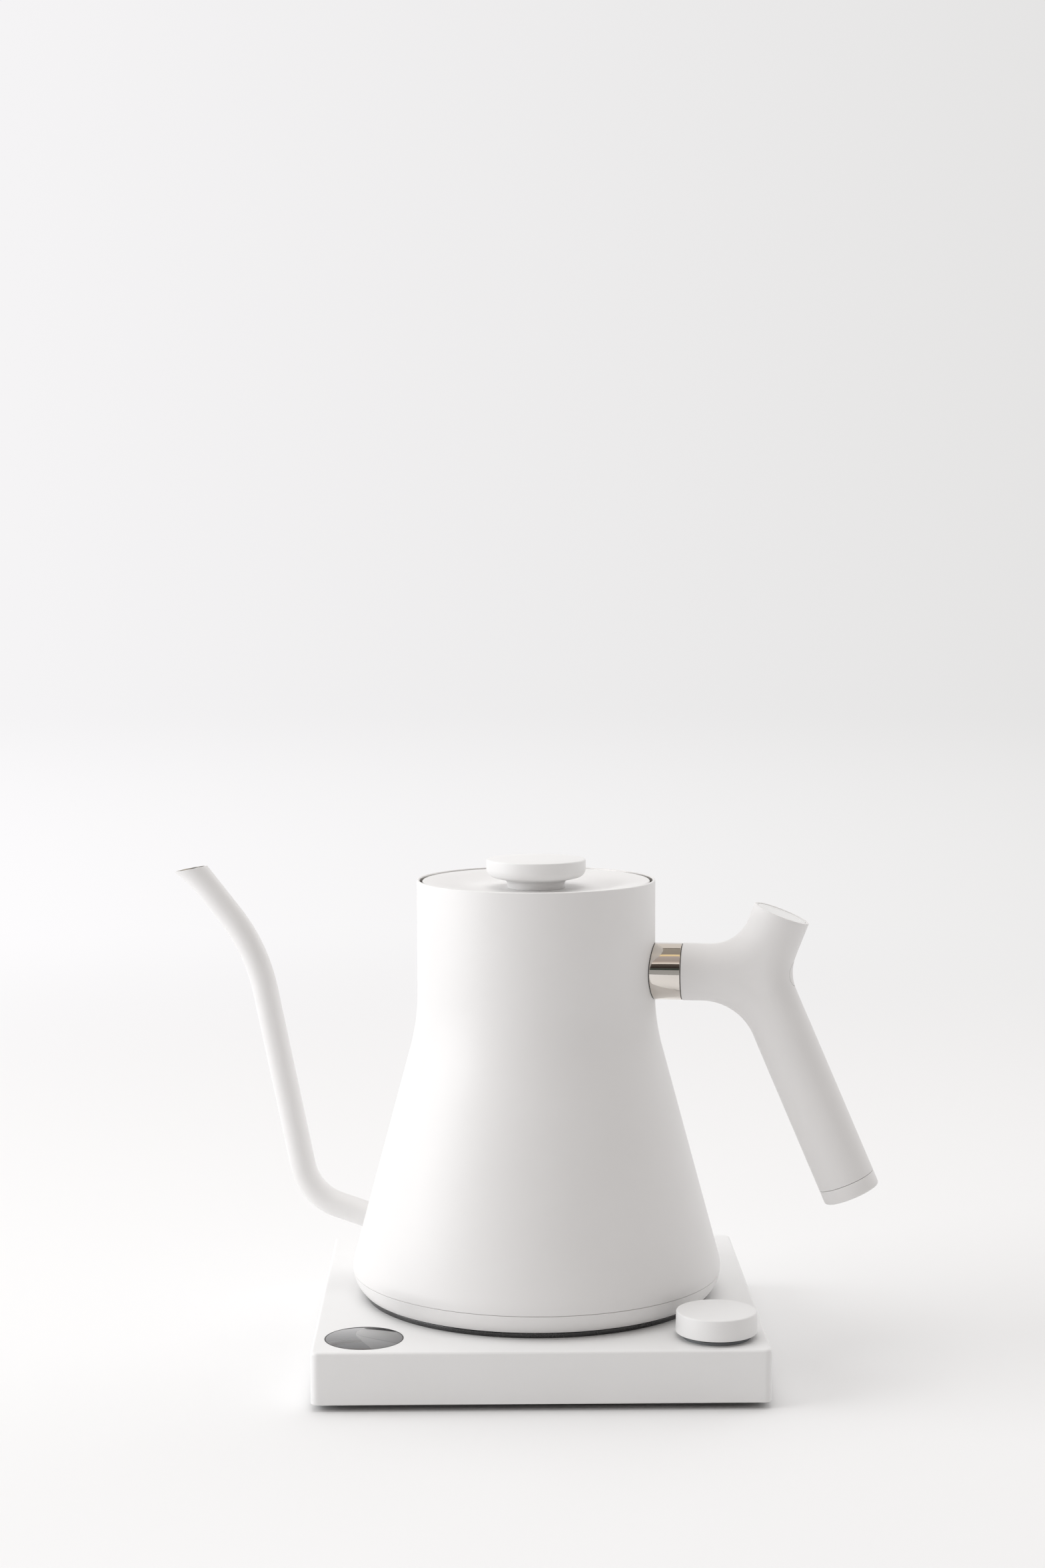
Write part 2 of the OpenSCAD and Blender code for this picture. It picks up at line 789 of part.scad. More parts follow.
base_housing();
base_bottom_plate();
foot_pad();
base_screws();
seat_disc();
base_socket();
socket_contacts();
display_window();
display_bezel();
display_module();
control_board();
power_board();
power_components();
rear_board();
encoder_body();
encoder_nut();
dial_collar();
cord_grommet();
cord_clamp();
hold_switch();
units_button();
encoder_shaft();
dial_knob();
dial_insert();
kettle_coupler();
coupler_contacts();
kettle_shell();
kettle_floor();
heat_spreader();
heating_element();
element_leads();
thermostat();
temperature_probe();
probe_seal();
floor_studs();
bottom_cap();
cap_screws();
spout_tube();
handle_ferrule();
handle_stud();
handle_body();
handle_bolt();
handle_top_disc();
handle_end_cap();
counterweight();
end_cap_screw();
lid_disc();
lid_underplate();
lid_seal();
lid_knob();
lid_screw();
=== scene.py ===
"""A gooseneck kettle on its square heating base, modelled and finished for a studio view.

The sizes in the classes are millimetres, as in the design. A piece is shaped in
millimetres and turned into metres when it is set down in the frame.
"""

import logging
import math
from dataclasses import dataclass, field
from enum import Enum
from functools import cached_property
from typing import Callable, Iterable, Sequence

import bmesh
import bpy
from mathutils import Matrix, Vector


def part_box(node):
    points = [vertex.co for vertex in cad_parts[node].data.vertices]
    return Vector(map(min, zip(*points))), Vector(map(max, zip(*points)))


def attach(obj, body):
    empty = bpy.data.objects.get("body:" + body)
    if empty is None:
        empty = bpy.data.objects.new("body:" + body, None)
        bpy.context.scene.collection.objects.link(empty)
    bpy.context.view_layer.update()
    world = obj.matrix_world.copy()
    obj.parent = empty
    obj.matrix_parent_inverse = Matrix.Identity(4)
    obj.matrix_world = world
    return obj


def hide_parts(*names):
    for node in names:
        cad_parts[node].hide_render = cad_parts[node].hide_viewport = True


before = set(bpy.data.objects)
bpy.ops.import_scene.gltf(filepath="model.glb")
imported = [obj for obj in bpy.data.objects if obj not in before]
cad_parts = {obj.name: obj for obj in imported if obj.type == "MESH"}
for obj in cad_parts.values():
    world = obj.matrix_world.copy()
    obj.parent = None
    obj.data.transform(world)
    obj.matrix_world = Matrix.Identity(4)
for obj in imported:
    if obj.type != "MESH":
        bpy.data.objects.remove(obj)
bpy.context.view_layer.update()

LOG = logging.getLogger("kettle")
MM = 0.001
UP = Vector((0, 0, 1))
FINE = 192  # faces round a large turned piece
SMALL = 72  # faces round a small one
MERGE = 0.002  # points closer than this are one


def low(node: str) -> Vector:
    """Lowest corner of a design node, in millimetres."""
    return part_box(node)[0] / MM


def high(node: str) -> Vector:
    """Highest corner of a design node, in millimetres."""
    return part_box(node)[1] / MM


def middle(node: str) -> Vector:
    """Middle of a design node's box, in millimetres."""
    return (low(node) + high(node)) / 2


# ---------------------------------------------------------------- modelling


@dataclass(frozen=True)
class Corner:
    """A corner of a half section.

    Args:
        out: Distance from the axis.
        up: Height.
        fillet: Radius of the corner.
        steps: Straight pieces in the fillet.
    """

    out: float
    up: float
    fillet: float = 0.0
    steps: int = 5


def knee(centre: Vector, radius: float, first: float, last: float, steps: int = 8) -> Corner:
    """The corner whose fillet is one stretch of a circle.

    Args:
        centre: Middle of the circle, as distance from the axis and height.
        radius: Radius of the circle.
        first: Angle at which the stretch starts, in degrees above level.
        last: Angle at which it ends.
        steps: Straight pieces in the stretch.

    Returns:
        The corner where the tangents at both ends meet.
    """
    mean, half = math.radians((first + last) / 2), math.radians(abs(first - last) / 2)
    reach = radius / math.cos(half)
    return Corner(
        centre.x + reach * math.cos(mean), centre.y + reach * math.sin(mean), radius, steps
    )


class Form:
    """A mesh in the making, in millimetres."""

    def __init__(self) -> None:
        """Starts with nothing."""
        self.bm = bmesh.new()

    def point(self, pen: bmesh.types.BMVert | None, place: Vector) -> bmesh.types.BMVert:
        """Draws a line from the pen to a place.

        Args:
            pen: The last point, or None to start.
            place: Where the line ends.

        Returns:
            The new last point.
        """
        if pen is None:
            return bmesh.ops.create_vert(self.bm, co=place)["vert"][0]
        made = bmesh.ops.extrude_vert_indiv(self.bm, verts=[pen])["verts"][0]
        made.co = place
        return made

    def section(self, corners: Sequence[Corner], closed: bool = True) -> list:
        """Draws a half section in the upright plane through the axis.

        Args:
            corners: The corners in order.
            closed: Whether the last corner joins the first.

        Returns:
            The points and lines of the section.
        """
        known = set(self.bm.verts) | set(self.bm.edges)
        spots = [Vector((c.out, 0, c.up)) for c in corners]
        pen = first = None
        for i, (corner, here) in enumerate(zip(corners, spots)):
            if corner.fillet <= 0:
                pen = self.point(pen, here)
                first = first or pen
                continue
            back = (spots[i - 1] - here).normalized()
            ahead = (spots[(i + 1) % len(spots)] - here).normalized()
            half = back.angle(ahead) / 2
            reach = corner.fillet / math.tan(half)
            centre = here + (back + ahead).normalized() * corner.fillet / math.sin(half)
            start, end = here + back * reach, here + ahead * reach
            pen = self.point(pen, start)
            first = first or pen
            turned = bmesh.ops.spin(
                self.bm,
                geom=[pen],
                cent=centre,
                axis=(start - centre).cross(end - centre).normalized(),
                angle=math.pi - 2 * half,
                steps=corner.steps,
            )["geom_last"]
            pen = next(g for g in turned if isinstance(g, bmesh.types.BMVert))
        if closed:
            self.bm.edges.new((pen, first))
        return [g for g in [*self.bm.verts, *self.bm.edges] if g not in known]

    def turn(
        self,
        corners: Sequence[Corner],
        faces: int = FINE,
        place: Matrix | None = None,
        closed: bool = True,
    ) -> "Form":
        """Turns a half section into a round solid.

        Args:
            corners: The half section.
            faces: Faces round the axis.
            place: Where the axis goes, if not upright through the origin.
            closed: Whether the section closes on itself.

        Returns:
            The form, for the next step.
        """
        before = set(self.bm.verts)
        line = self.section(corners, closed)
        bmesh.ops.spin(
            self.bm,
            geom=line,
            cent=(0, 0, 0),
            axis=UP,
            angle=math.tau,
            steps=faces,
            use_merge=True,
        )
        made = [v for v in self.bm.verts if v not in before]
        bmesh.ops.remove_doubles(self.bm, verts=made, dist=MERGE)
        if place is not None:
            bmesh.ops.transform(
                self.bm, matrix=place, verts=[v for v in self.bm.verts if v not in before]
            )
        return self

    def block(
        self,
        lowest: Vector,
        highest: Vector,
        corner: float = 0.0,
        top: float = 0.0,
        bottom: float = 0.0,
        steps: int = 5,
    ) -> "Form":
        """Makes a block with round upright corners and round top and bottom edges.

        Args:
            lowest: Lowest corner of the block.
            highest: Highest corner of the block.
            corner: Radius of the upright edges.
            top: Radius of the top edge.
            bottom: Radius of the bottom edge.
            steps: Faces across each rounding.

        Returns:
            The form, for the next step.
        """
        size = highest - lowest
        made = bmesh.ops.create_cube(
            self.bm,
            size=1,
            matrix=Matrix.Translation((lowest + highest) / 2) @ Matrix.Diagonal((*size, 1)),
        )["verts"]
        known = set(self.bm.verts) - set(made)
        edges = {e for v in made for e in v.link_edges}
        upright = [e for e in edges if abs(e.verts[0].co.z - e.verts[1].co.z) > size.z / 2]
        if corner:
            self.soften(upright, corner, steps + 3)
        for height, radius in ((highest.z, top), (lowest.z, bottom)):
            if radius:
                level = [
                    e
                    for e in self.bm.edges
                    if all(v not in known and abs(v.co.z - height) < MERGE for v in e.verts)
                ]
                self.soften(level, radius, steps)
        return self

    def soften(self, edges: Iterable[bmesh.types.BMEdge], radius: float, steps: int) -> None:
        """Rounds edges over.

        Args:
            edges: The edges.
            radius: Radius of the rounding.
            steps: Faces across it.
        """
        bmesh.ops.bevel(
            self.bm,
            geom=list(edges),
            offset=radius,
            offset_type="OFFSET",
            segments=steps,
            profile=0.5,
            affect="EDGES",
            clamp_overlap=True,
            material=-1,
        )

    def rod(self, place: Matrix, radius: float, length: float, faces: int = 96) -> "Form":
        """Makes a plain round rod along a place's own upright axis.

        Args:
            place: Where the rod starts.
            radius: Its radius.
            length: Its length.
            faces: Faces round it.

        Returns:
            The form, for the next step.
        """
        bmesh.ops.create_cone(
            self.bm,
            cap_ends=True,
            segments=faces,
            radius1=radius,
            radius2=radius,
            depth=length,
            matrix=place @ Matrix.Translation((0, 0, length / 2)),
        )
        return self

    def close(self, edges: Sequence[bmesh.types.BMEdge]) -> None:
        """Fills a loop of open edges with one face."""
        bmesh.ops.edgeloop_fill(self.bm, edges=list(edges))


class Rim:
    """A loop of edges about an axis, pulled into a wall step by step."""

    def __init__(
        self,
        form: Form,
        place: Matrix,
        radius: float,
        faces: int = SMALL,
        edges: Sequence[bmesh.types.BMEdge] | None = None,
    ) -> None:
        """Starts a wall.

        Args:
            form: The form it belongs to.
            place: Its own axis runs along this place's upright direction.
            radius: Radius of the loop.
            faces: Edges in a new loop.
            edges: An open loop to go on from, in place of a new one.
        """
        self.form, self.place, self.radius = form, place.copy(), radius
        if edges is None:
            verts = bmesh.ops.create_circle(
                form.bm, cap_ends=False, radius=radius, segments=faces, matrix=place
            )["verts"]
            edges = list({e for v in verts for e in v.link_edges})
        self.edges = list(edges)

    @property
    def verts(self) -> list[bmesh.types.BMVert]:
        """The loop's points."""
        return list({v for e in self.edges for v in e.verts})

    def step(self, ahead: float, radius: float | None = None) -> "Rim":
        """Pulls the loop along its axis.

        Args:
            ahead: How far.
            radius: Its new radius, if it changes.

        Returns:
            The loop, for the next step.
        """
        bm = self.form.bm
        made = bmesh.ops.extrude_edge_only(bm, edges=self.edges)["geom"]
        verts = [g for g in made if isinstance(g, bmesh.types.BMVert)]
        fresh = set(verts)
        self.edges = [
            g for g in made if isinstance(g, bmesh.types.BMEdge) and fresh.issuperset(g.verts)
        ]
        if radius is not None:
            scale = radius / self.radius
            bmesh.ops.scale(
                bm, vec=(scale, scale, 1), space=self.place.inverted(), verts=verts
            )
            self.radius = radius
        shift = self.place.to_3x3() @ Vector((0, 0, ahead))
        bmesh.ops.translate(bm, vec=shift, verts=verts)
        self.place = Matrix.Translation(shift) @ self.place
        return self

    def bend(self, radius: float, degrees: float, steps: int) -> "Rim":
        """Pulls the loop round a bend in the plane of its place's first axis.

        Args:
            radius: Radius of the bend.
            degrees: How far it turns; negative turns the other way.
            steps: Straight pieces in the bend.

        Returns:
            The loop, for the next step.
        """
        side = math.copysign(radius, degrees)
        centre = self.place @ Vector((side, 0, 0))
        axis = self.place.to_3x3() @ Vector((0, 1, 0))
        last = bmesh.ops.spin(
            self.form.bm,
            geom=[*self.verts, *self.edges],
            cent=centre,
            axis=axis,
            angle=math.radians(degrees),
            steps=steps,
        )["geom_last"]
        self.edges = [g for g in last if isinstance(g, bmesh.types.BMEdge)]
        turned = Matrix.Rotation(math.radians(degrees), 4, axis)
        self.place = (
            Matrix.Translation(centre) @ turned @ Matrix.Translation(-centre) @ self.place
        )
        return self

    def roll(self, size: float, out: float = -1.0, enter: bool = False, steps: int = 4) -> "Rim":
        """Takes the wall through a quarter circle.

        Args:
            size: Radius of the quarter circle.
            out: -1 turns towards the axis, 1 away from it.
            enter: Whether the quarter circle starts square to the axis.
            steps: Faces across it.

        Returns:
            The loop, for the next step.
        """
        start, gone = self.radius, 0.0
        for i in range(1, steps + 1):
            angle = i / steps * math.pi / 2
            along, side = math.sin(angle), 1 - math.cos(angle)
            if enter:
                along, side = side, along
            self.step(size * along - gone, start + out * size * side)
            gone = size * along
        return self

    def fill(self) -> None:
        """Closes the loop with a face."""
        self.form.close(self.edges)


def shift(x: float = 0, y: float = 0, z: float = 0) -> Matrix:
    """A plain move."""
    return Matrix.Translation((x, y, z))


def facing(place: Vector, direction: Vector) -> Matrix:
    """A place whose upright axis points in a direction of the handle's plane.

    Args:
        place: The place.
        direction: The direction, with no part across the plane.

    Returns:
        The matrix whose second axis stays across the plane.
    """
    ahead = direction.normalized()
    across = Vector((0, 1, 0))
    side = across.cross(ahead)
    turn = Matrix((side, across, ahead)).transposed().to_4x4()
    return Matrix.Translation(place) @ turn


def apply_modifiers(thing: bpy.types.Object) -> None:
    """Makes an object's modifiers part of its mesh."""
    graph = bpy.context.evaluated_depsgraph_get()
    mesh = bpy.data.meshes.new_from_object(thing.evaluated_get(graph))
    old, thing.data = thing.data, mesh
    thing.modifiers.clear()
    bpy.data.meshes.remove(old)


def as_object(form: Form, name: str, fix: bool = True) -> bpy.types.Object:
    """Turns a form into an object, still in millimetres.

    Args:
        form: The form, which is used up.
        name: Name of the object and its mesh.
        fix: Whether the faces are turned outwards again.

    Returns:
        The object.
    """
    if fix:
        bmesh.ops.recalc_face_normals(form.bm, faces=form.bm.faces[:])
    mesh = bpy.data.meshes.new(name)
    form.bm.to_mesh(mesh)
    form.bm.free()
    thing = bpy.data.objects.new(name, mesh)
    bpy.context.scene.collection.objects.link(thing)
    return thing


def cut(thing: bpy.types.Object, tools: Sequence[Form]) -> bpy.types.Object:
    """Cuts forms out of an object.

    Args:
        thing: The object.
        tools: The forms, which are used up.

    Returns:
        The object.
    """
    for i, tool in enumerate(tools):
        knife = as_object(tool, f"cutter_{i}")
        step = thing.modifiers.new("cut", "BOOLEAN")
        step.operation, step.solver, step.object = "DIFFERENCE", "EXACT", knife
        apply_modifiers(thing)
        bpy.data.objects.remove(knife)
    return thing


# ----------------------------------------------------------------- finishes


class Lines(Enum):
    """Which way the fine lines of a finish run."""

    NONE = "none"
    ROUND = "round the axis"


class Kind(Enum):
    """What a finish is laid on."""

    PLAIN = "plain"
    BOARD = "circuit board"
    WINDOW = "display window"


@dataclass(frozen=True)
class Finish:
    """One material of the kettle.

    Args:
        name: Name of the material.
        colour: Colour, linear.
        shade: Second colour of its soft variation.
        rough: Roughness.
        marks: How far handling changes the roughness.
        metal: 1 for bare metal.
        coat: Clear coat.
        grain: Depth of the fine grain, in micrometres.
        pitch: Grains in a millimetre.
        lines: Which way brush or lathe lines run.
        kind: What it is laid on.
        dust: How much settled dust shows on it.
    """

    name: str
    colour: tuple[float, float, float]
    shade: tuple[float, float, float]
    rough: float
    marks: float = 0.04
    metal: float = 0.0
    coat: float = 0.0
    grain: float = 4.0
    pitch: float = 1.6
    lines: Lines = Lines.NONE
    kind: Kind = Kind.PLAIN
    dust: float = 0.0


ENAMEL = Finish(
    "kettle powder coat",
    (0.825, 0.818, 0.813),
    (0.805, 0.798, 0.792),
    0.44,
    0.05,
    grain=7,
    pitch=1.3,
)
CASING = Finish(
    "base casing", (0.85, 0.85, 0.848), (0.83, 0.83, 0.826), 0.5, 0.05, grain=6, pitch=2.2
)
GRIP = Finish(
    "soft touch handle", (0.825, 0.816, 0.81), (0.8, 0.792, 0.786), 0.56, 0.05, grain=8, pitch=2.4
)
DIAL = Finish(
    "white moulding", (0.85, 0.849, 0.846), (0.83, 0.828, 0.824), 0.46, 0.05, grain=5, pitch=2.6
)
DISC = Finish(
    "thumb disc", (0.83, 0.83, 0.82), (0.8, 0.8, 0.79), 0.24, 0.06, coat=0.3, grain=3, pitch=1.0
)
POLISHED = Finish(
    "polished steel", (0.76, 0.72, 0.67), (0.72, 0.68, 0.63), 0.07, 0.03, 1.0, grain=0.6, pitch=0.8
)
BRUSHED = Finish(
    "brushed steel",
    (0.62, 0.605, 0.585),
    (0.58, 0.57, 0.55),
    0.3,
    0.04,
    1.0,
    grain=4,
    lines=Lines.ROUND,
)
SPRING = Finish(
    "dark spring steel",
    (0.09, 0.09, 0.092),
    (0.06, 0.06, 0.062),
    0.34,
    0.1,
    0.6,
    grain=4,
    lines=Lines.ROUND,
)
STEEL = Finish("plain steel", (0.55, 0.55, 0.54), (0.44, 0.44, 0.43), 0.32, 0.12, 1.0, grain=5)
ALUMINIUM = Finish(
    "cast aluminium", (0.66, 0.67, 0.68), (0.55, 0.56, 0.57), 0.42, 0.1, 1.0, grain=14, pitch=1.2
)
BRASS = Finish("contact brass", (0.72, 0.5, 0.22), (0.6, 0.4, 0.17), 0.26, 0.1, 1.0, grain=4)
GLOSS = Finish(
    "black seat",
    (0.011, 0.011, 0.012),
    (0.016, 0.016, 0.018),
    0.16,
    0.08,
    coat=0.5,
    grain=2,
    pitch=1.0,
    dust=0.03,
)
BLACK = Finish(
    "black moulding",
    (0.017, 0.017, 0.018),
    (0.026, 0.026, 0.028),
    0.46,
    0.1,
    grain=12,
    pitch=3.0,
    dust=0.05,
)
# Painted shade: a near-black finish for the thin rings that darken the gaps at the ferrule's ends.
GAP_SHADE = Finish(
    "painted gap shade", (0.02, 0.018, 0.017), (0.03, 0.027, 0.025), 0.5, 0.1, grain=5, pitch=2.0
)
RUBBER = Finish(
    "foot rubber",
    (0.022, 0.022, 0.023),
    (0.032, 0.032, 0.034),
    0.72,
    0.1,
    grain=20,
    pitch=2.4,
    dust=0.08,
)
GLASS = Finish(
    "display glass",
    (0.012, 0.013, 0.016),
    (0.02, 0.021, 0.025),
    0.05,
    0.03,
    coat=1.0,
    grain=0.3,
    pitch=0.5,
    kind=Kind.WINDOW,
)
GREY = Finish("grey moulding", (0.2, 0.21, 0.22), (0.16, 0.17, 0.18), 0.5, 0.1, grain=8, pitch=2.0)
BOARD = Finish(
    "circuit board",
    (0.03, 0.15, 0.06),
    (0.02, 0.11, 0.045),
    0.4,
    0.1,
    grain=10,
    pitch=1.0,
    kind=Kind.BOARD,
)
PARTS = Finish(
    "component plastic", (0.12, 0.13, 0.2), (0.2, 0.17, 0.1), 0.42, 0.1, grain=6, pitch=0.25
)
LEAD = Finish(
    "lead insulation", (0.5, 0.05, 0.03), (0.42, 0.04, 0.025), 0.5, 0.1, grain=6, pitch=1.5
)
SILICONE = Finish(
    "silicone seal", (0.28, 0.06, 0.035), (0.24, 0.05, 0.03), 0.55, 0.1, grain=8, pitch=1.5
)

SLOT_FINISH = {
    "white_casing": CASING,
    "black_plastic": BLACK,
    "foot_rubber": RUBBER,
    "plain_steel": STEEL,
    "black_gloss": GLOSS,
    "contact_brass": BRASS,
    "dark_glass": GLASS,
    "grey_plastic": GREY,
    "circuit_board": BOARD,
    "component_plastic": PARTS,
    "black_rubber": RUBBER,
    "white_plastic": DIAL,
    "white_enamel": ENAMEL,
    "white_handle": GRIP,
    "brushed_steel": BRUSHED,
    "polished_steel": POLISHED,
    "dark_spring_steel": SPRING,
    "aluminium": ALUMINIUM,
    "lead_insulation": LEAD,
    "silicone_seal": SILICONE,
}


class Sheet:
    """A node tree being wired."""

    def __init__(self, tree: bpy.types.NodeTree) -> None:
        """Takes the tree to wire."""
        self.tree = tree

    def add(self, kind: str, **settings: object) -> bpy.types.Node:
        """Adds a node.

        Args:
            kind: Its type.
            settings: Its properties.

        Returns:
            The node.
        """
        node = self.tree.nodes.new(kind)
        for key, value in settings.items():
            setattr(node, key, value)
        return node

    def wire(self, value: object, socket: bpy.types.NodeSocket) -> None:
        """Links or sets a socket.

        Args:
            value: A socket to link from, or a value to set.
            socket: The socket.
        """
        if isinstance(value, bpy.types.NodeSocket):
            self.tree.links.new(value, socket)
        else:
            socket.default_value = value

    def math(self, operation: str, *values: object, clamp: bool = False) -> bpy.types.NodeSocket:
        """Adds a sum.

        Args:
            operation: What it does.
            values: Its inputs, sockets or numbers.
            clamp: Whether the result stays between 0 and 1.

        Returns:
            The result.
        """
        node = self.add("ShaderNodeMath", operation=operation, use_clamp=clamp)
        for value, socket in zip(values, node.inputs):
            self.wire(value, socket)
        return node.outputs[0]

    def parts(self, vector: object) -> bpy.types.Node:
        """Splits a vector into its three numbers.

        Args:
            vector: The vector.

        Returns:
            The node that holds them.
        """
        node = self.add("ShaderNodeSeparateXYZ")
        self.wire(vector, node.inputs[0])
        return node

    def mix(self, factor: object, first: object, second: object) -> bpy.types.NodeSocket:
        """Mixes two colours.

        Args:
            factor: How much of the second.
            first: One colour.
            second: The other.

        Returns:
            The mixture.
        """
        node = self.add("ShaderNodeMix", data_type="RGBA")
        for value, socket in zip(
            (factor, first, second), (node.inputs[0], node.inputs[6], node.inputs[7])
        ):
            self.wire(value, socket)
        return node.outputs[2]

    def noise(self, vector: object, scale: object, detail: float = 2.0) -> bpy.types.NodeSocket:
        """Adds a cloudy pattern.

        Args:
            vector: Its coordinates.
            scale: Clouds in a metre.
            detail: Layers of finer clouds.

        Returns:
            Its value, about 0.5.
        """
        node = self.add("ShaderNodeTexNoise")
        node.inputs["Detail"].default_value = detail
        self.wire(vector, node.inputs["Vector"])
        self.wire(scale, node.inputs["Scale"])
        return node.outputs["Fac"]


class Effects:
    """The effects that the finishes share, each built once as a node group."""

    def __init__(self) -> None:
        """Builds the groups."""
        self.grain = self._grain()
        self.marks = self._marks()
        self.tone = self._tone()
        self.turned = self._turned()
        self.dust = self._dust()

    @staticmethod
    def _group(
        name: str, inputs: dict[str, object], outputs: dict[str, str]
    ) -> tuple[bpy.types.NodeTree, Sheet, bpy.types.Node, bpy.types.Node]:
        """Starts a group with named sockets.

        Args:
            name: Name of the group.
            inputs: Each input's name with its default, or "vector" or "colour".
            outputs: Each output's name with its socket type.

        Returns:
            The tree, its sheet, its input node and its output node.
        """
        tree = bpy.data.node_groups.new(name, "ShaderNodeTree")
        kinds = {"vector": "NodeSocketVector", "colour": "NodeSocketColor"}
        for label, default in inputs.items():
            made = tree.interface.new_socket(
                name=label, in_out="INPUT", socket_type=kinds.get(default, "NodeSocketFloat")
            )
            if default not in kinds:
                made.default_value = default
        for label, kind in outputs.items():
            tree.interface.new_socket(name=label, in_out="OUTPUT", socket_type=kind)
        sheet = Sheet(tree)
        return tree, sheet, sheet.add("NodeGroupInput"), sheet.add("NodeGroupOutput")

    def _grain(self) -> bpy.types.NodeTree:
        """Fine grain of a moulding or a baked coat."""
        tree, sheet, given, result = self._group(
            "fine grain",
            {"Vector": "vector", "Pitch": 1600.0, "Coarse share": 0.35},
            {"Height": "NodeSocketFloat"},
        )
        fine = sheet.noise(given.outputs["Vector"], given.outputs["Pitch"], 1.5)
        wide = sheet.noise(
            given.outputs["Vector"], sheet.math("MULTIPLY", given.outputs["Pitch"], 0.31), 1.0
        )
        share = given.outputs["Coarse share"]
        mixed = sheet.math(
            "ADD",
            sheet.math("MULTIPLY", wide, share),
            sheet.math("MULTIPLY", fine, sheet.math("SUBTRACT", 1.0, share)),
        )
        sheet.wire(mixed, result.inputs["Height"])
        return tree

    def _marks(self) -> bpy.types.NodeTree:
        """Roughness that handling and wiping have made a little uneven."""
        tree, sheet, given, result = self._group(
            "handling marks",
            {"Vector": "vector", "Gloss": 0.4, "Spread": 0.05},
            {"Roughness": "NodeSocketFloat"},
        )
        broad = sheet.noise(given.outputs["Vector"], 38.0, 3.0)
        small = sheet.noise(given.outputs["Vector"], 260.0, 2.0)
        both = sheet.math(
            "ADD", sheet.math("MULTIPLY", broad, 1.3), sheet.math("MULTIPLY", small, 0.7)
        )
        change = sheet.math(
            "MULTIPLY",
            sheet.math("SUBTRACT", both, 1.0),
            sheet.math("MULTIPLY", given.outputs["Spread"], 2.0),
        )
        sheet.wire(
            sheet.math("ADD", given.outputs["Gloss"], change, clamp=True),
            result.inputs["Roughness"],
        )
        return tree

    def _tone(self) -> bpy.types.NodeTree:
        """Soft change between two close colours."""
        tree, sheet, given, result = self._group(
            "soft tone",
            {"Vector": "vector", "Colour": "colour", "Shade": "colour", "Clouds": 24.0},
            {"Colour": "NodeSocketColor"},
        )
        cloud = sheet.noise(given.outputs["Vector"], given.outputs["Clouds"], 3.0)
        factor = sheet.math("MULTIPLY_ADD", cloud, 2.4, -0.7, clamp=True)
        sheet.wire(
            sheet.mix(factor, given.outputs["Colour"], given.outputs["Shade"]),
            result.inputs["Colour"],
        )
        return tree

    def _turned(self) -> bpy.types.NodeTree:
        """Lathe and brush lines that run round the upright axis."""
        tree, sheet, given, result = self._group(
            "turned lines",
            {"Vector": "vector", "Pitch": 2600.0},
            {"Height": "NodeSocketFloat", "Mask": "NodeSocketFloat"},
        )
        parts = sheet.parts(given.outputs["Vector"])
        across = sheet.math(
            "SQRT",
            sheet.math(
                "ADD",
                sheet.math("MULTIPLY", parts.outputs[0], parts.outputs[0]),
                sheet.math("MULTIPLY", parts.outputs[1], parts.outputs[1]),
            ),
        )
        round_way = sheet.math(
            "MULTIPLY", sheet.math("ARCTAN2", parts.outputs[1], parts.outputs[0]), 0.0007
        )
        joined = sheet.add("ShaderNodeCombineXYZ")
        for value, socket in zip((across, parts.outputs[2], round_way), joined.inputs):
            sheet.wire(value, socket)
        lines = sheet.noise(joined.outputs[0], given.outputs["Pitch"], 2.0)
        sheet.wire(lines, result.inputs["Height"])
        sheet.wire(sheet.noise(joined.outputs[0], 420.0, 2.0), result.inputs["Mask"])
        return tree

    def _dust(self) -> bpy.types.NodeTree:
        """Where a little dust settles."""
        tree, sheet, given, result = self._group(
            "settled dust",
            {"Vector": "vector", "Amount": 0.05},
            {"Mask": "NodeSocketFloat"},
        )
        specks = sheet.math(
            "MULTIPLY_ADD", sheet.noise(given.outputs["Vector"], 1900.0, 3.0), 5.0, -2.6, clamp=True
        )
        veil = sheet.noise(given.outputs["Vector"], 60.0, 3.0)
        sheet.wire(
            sheet.math(
                "MULTIPLY", sheet.math("ADD", specks, veil), given.outputs["Amount"], clamp=True
            ),
            result.inputs["Mask"],
        )
        return tree


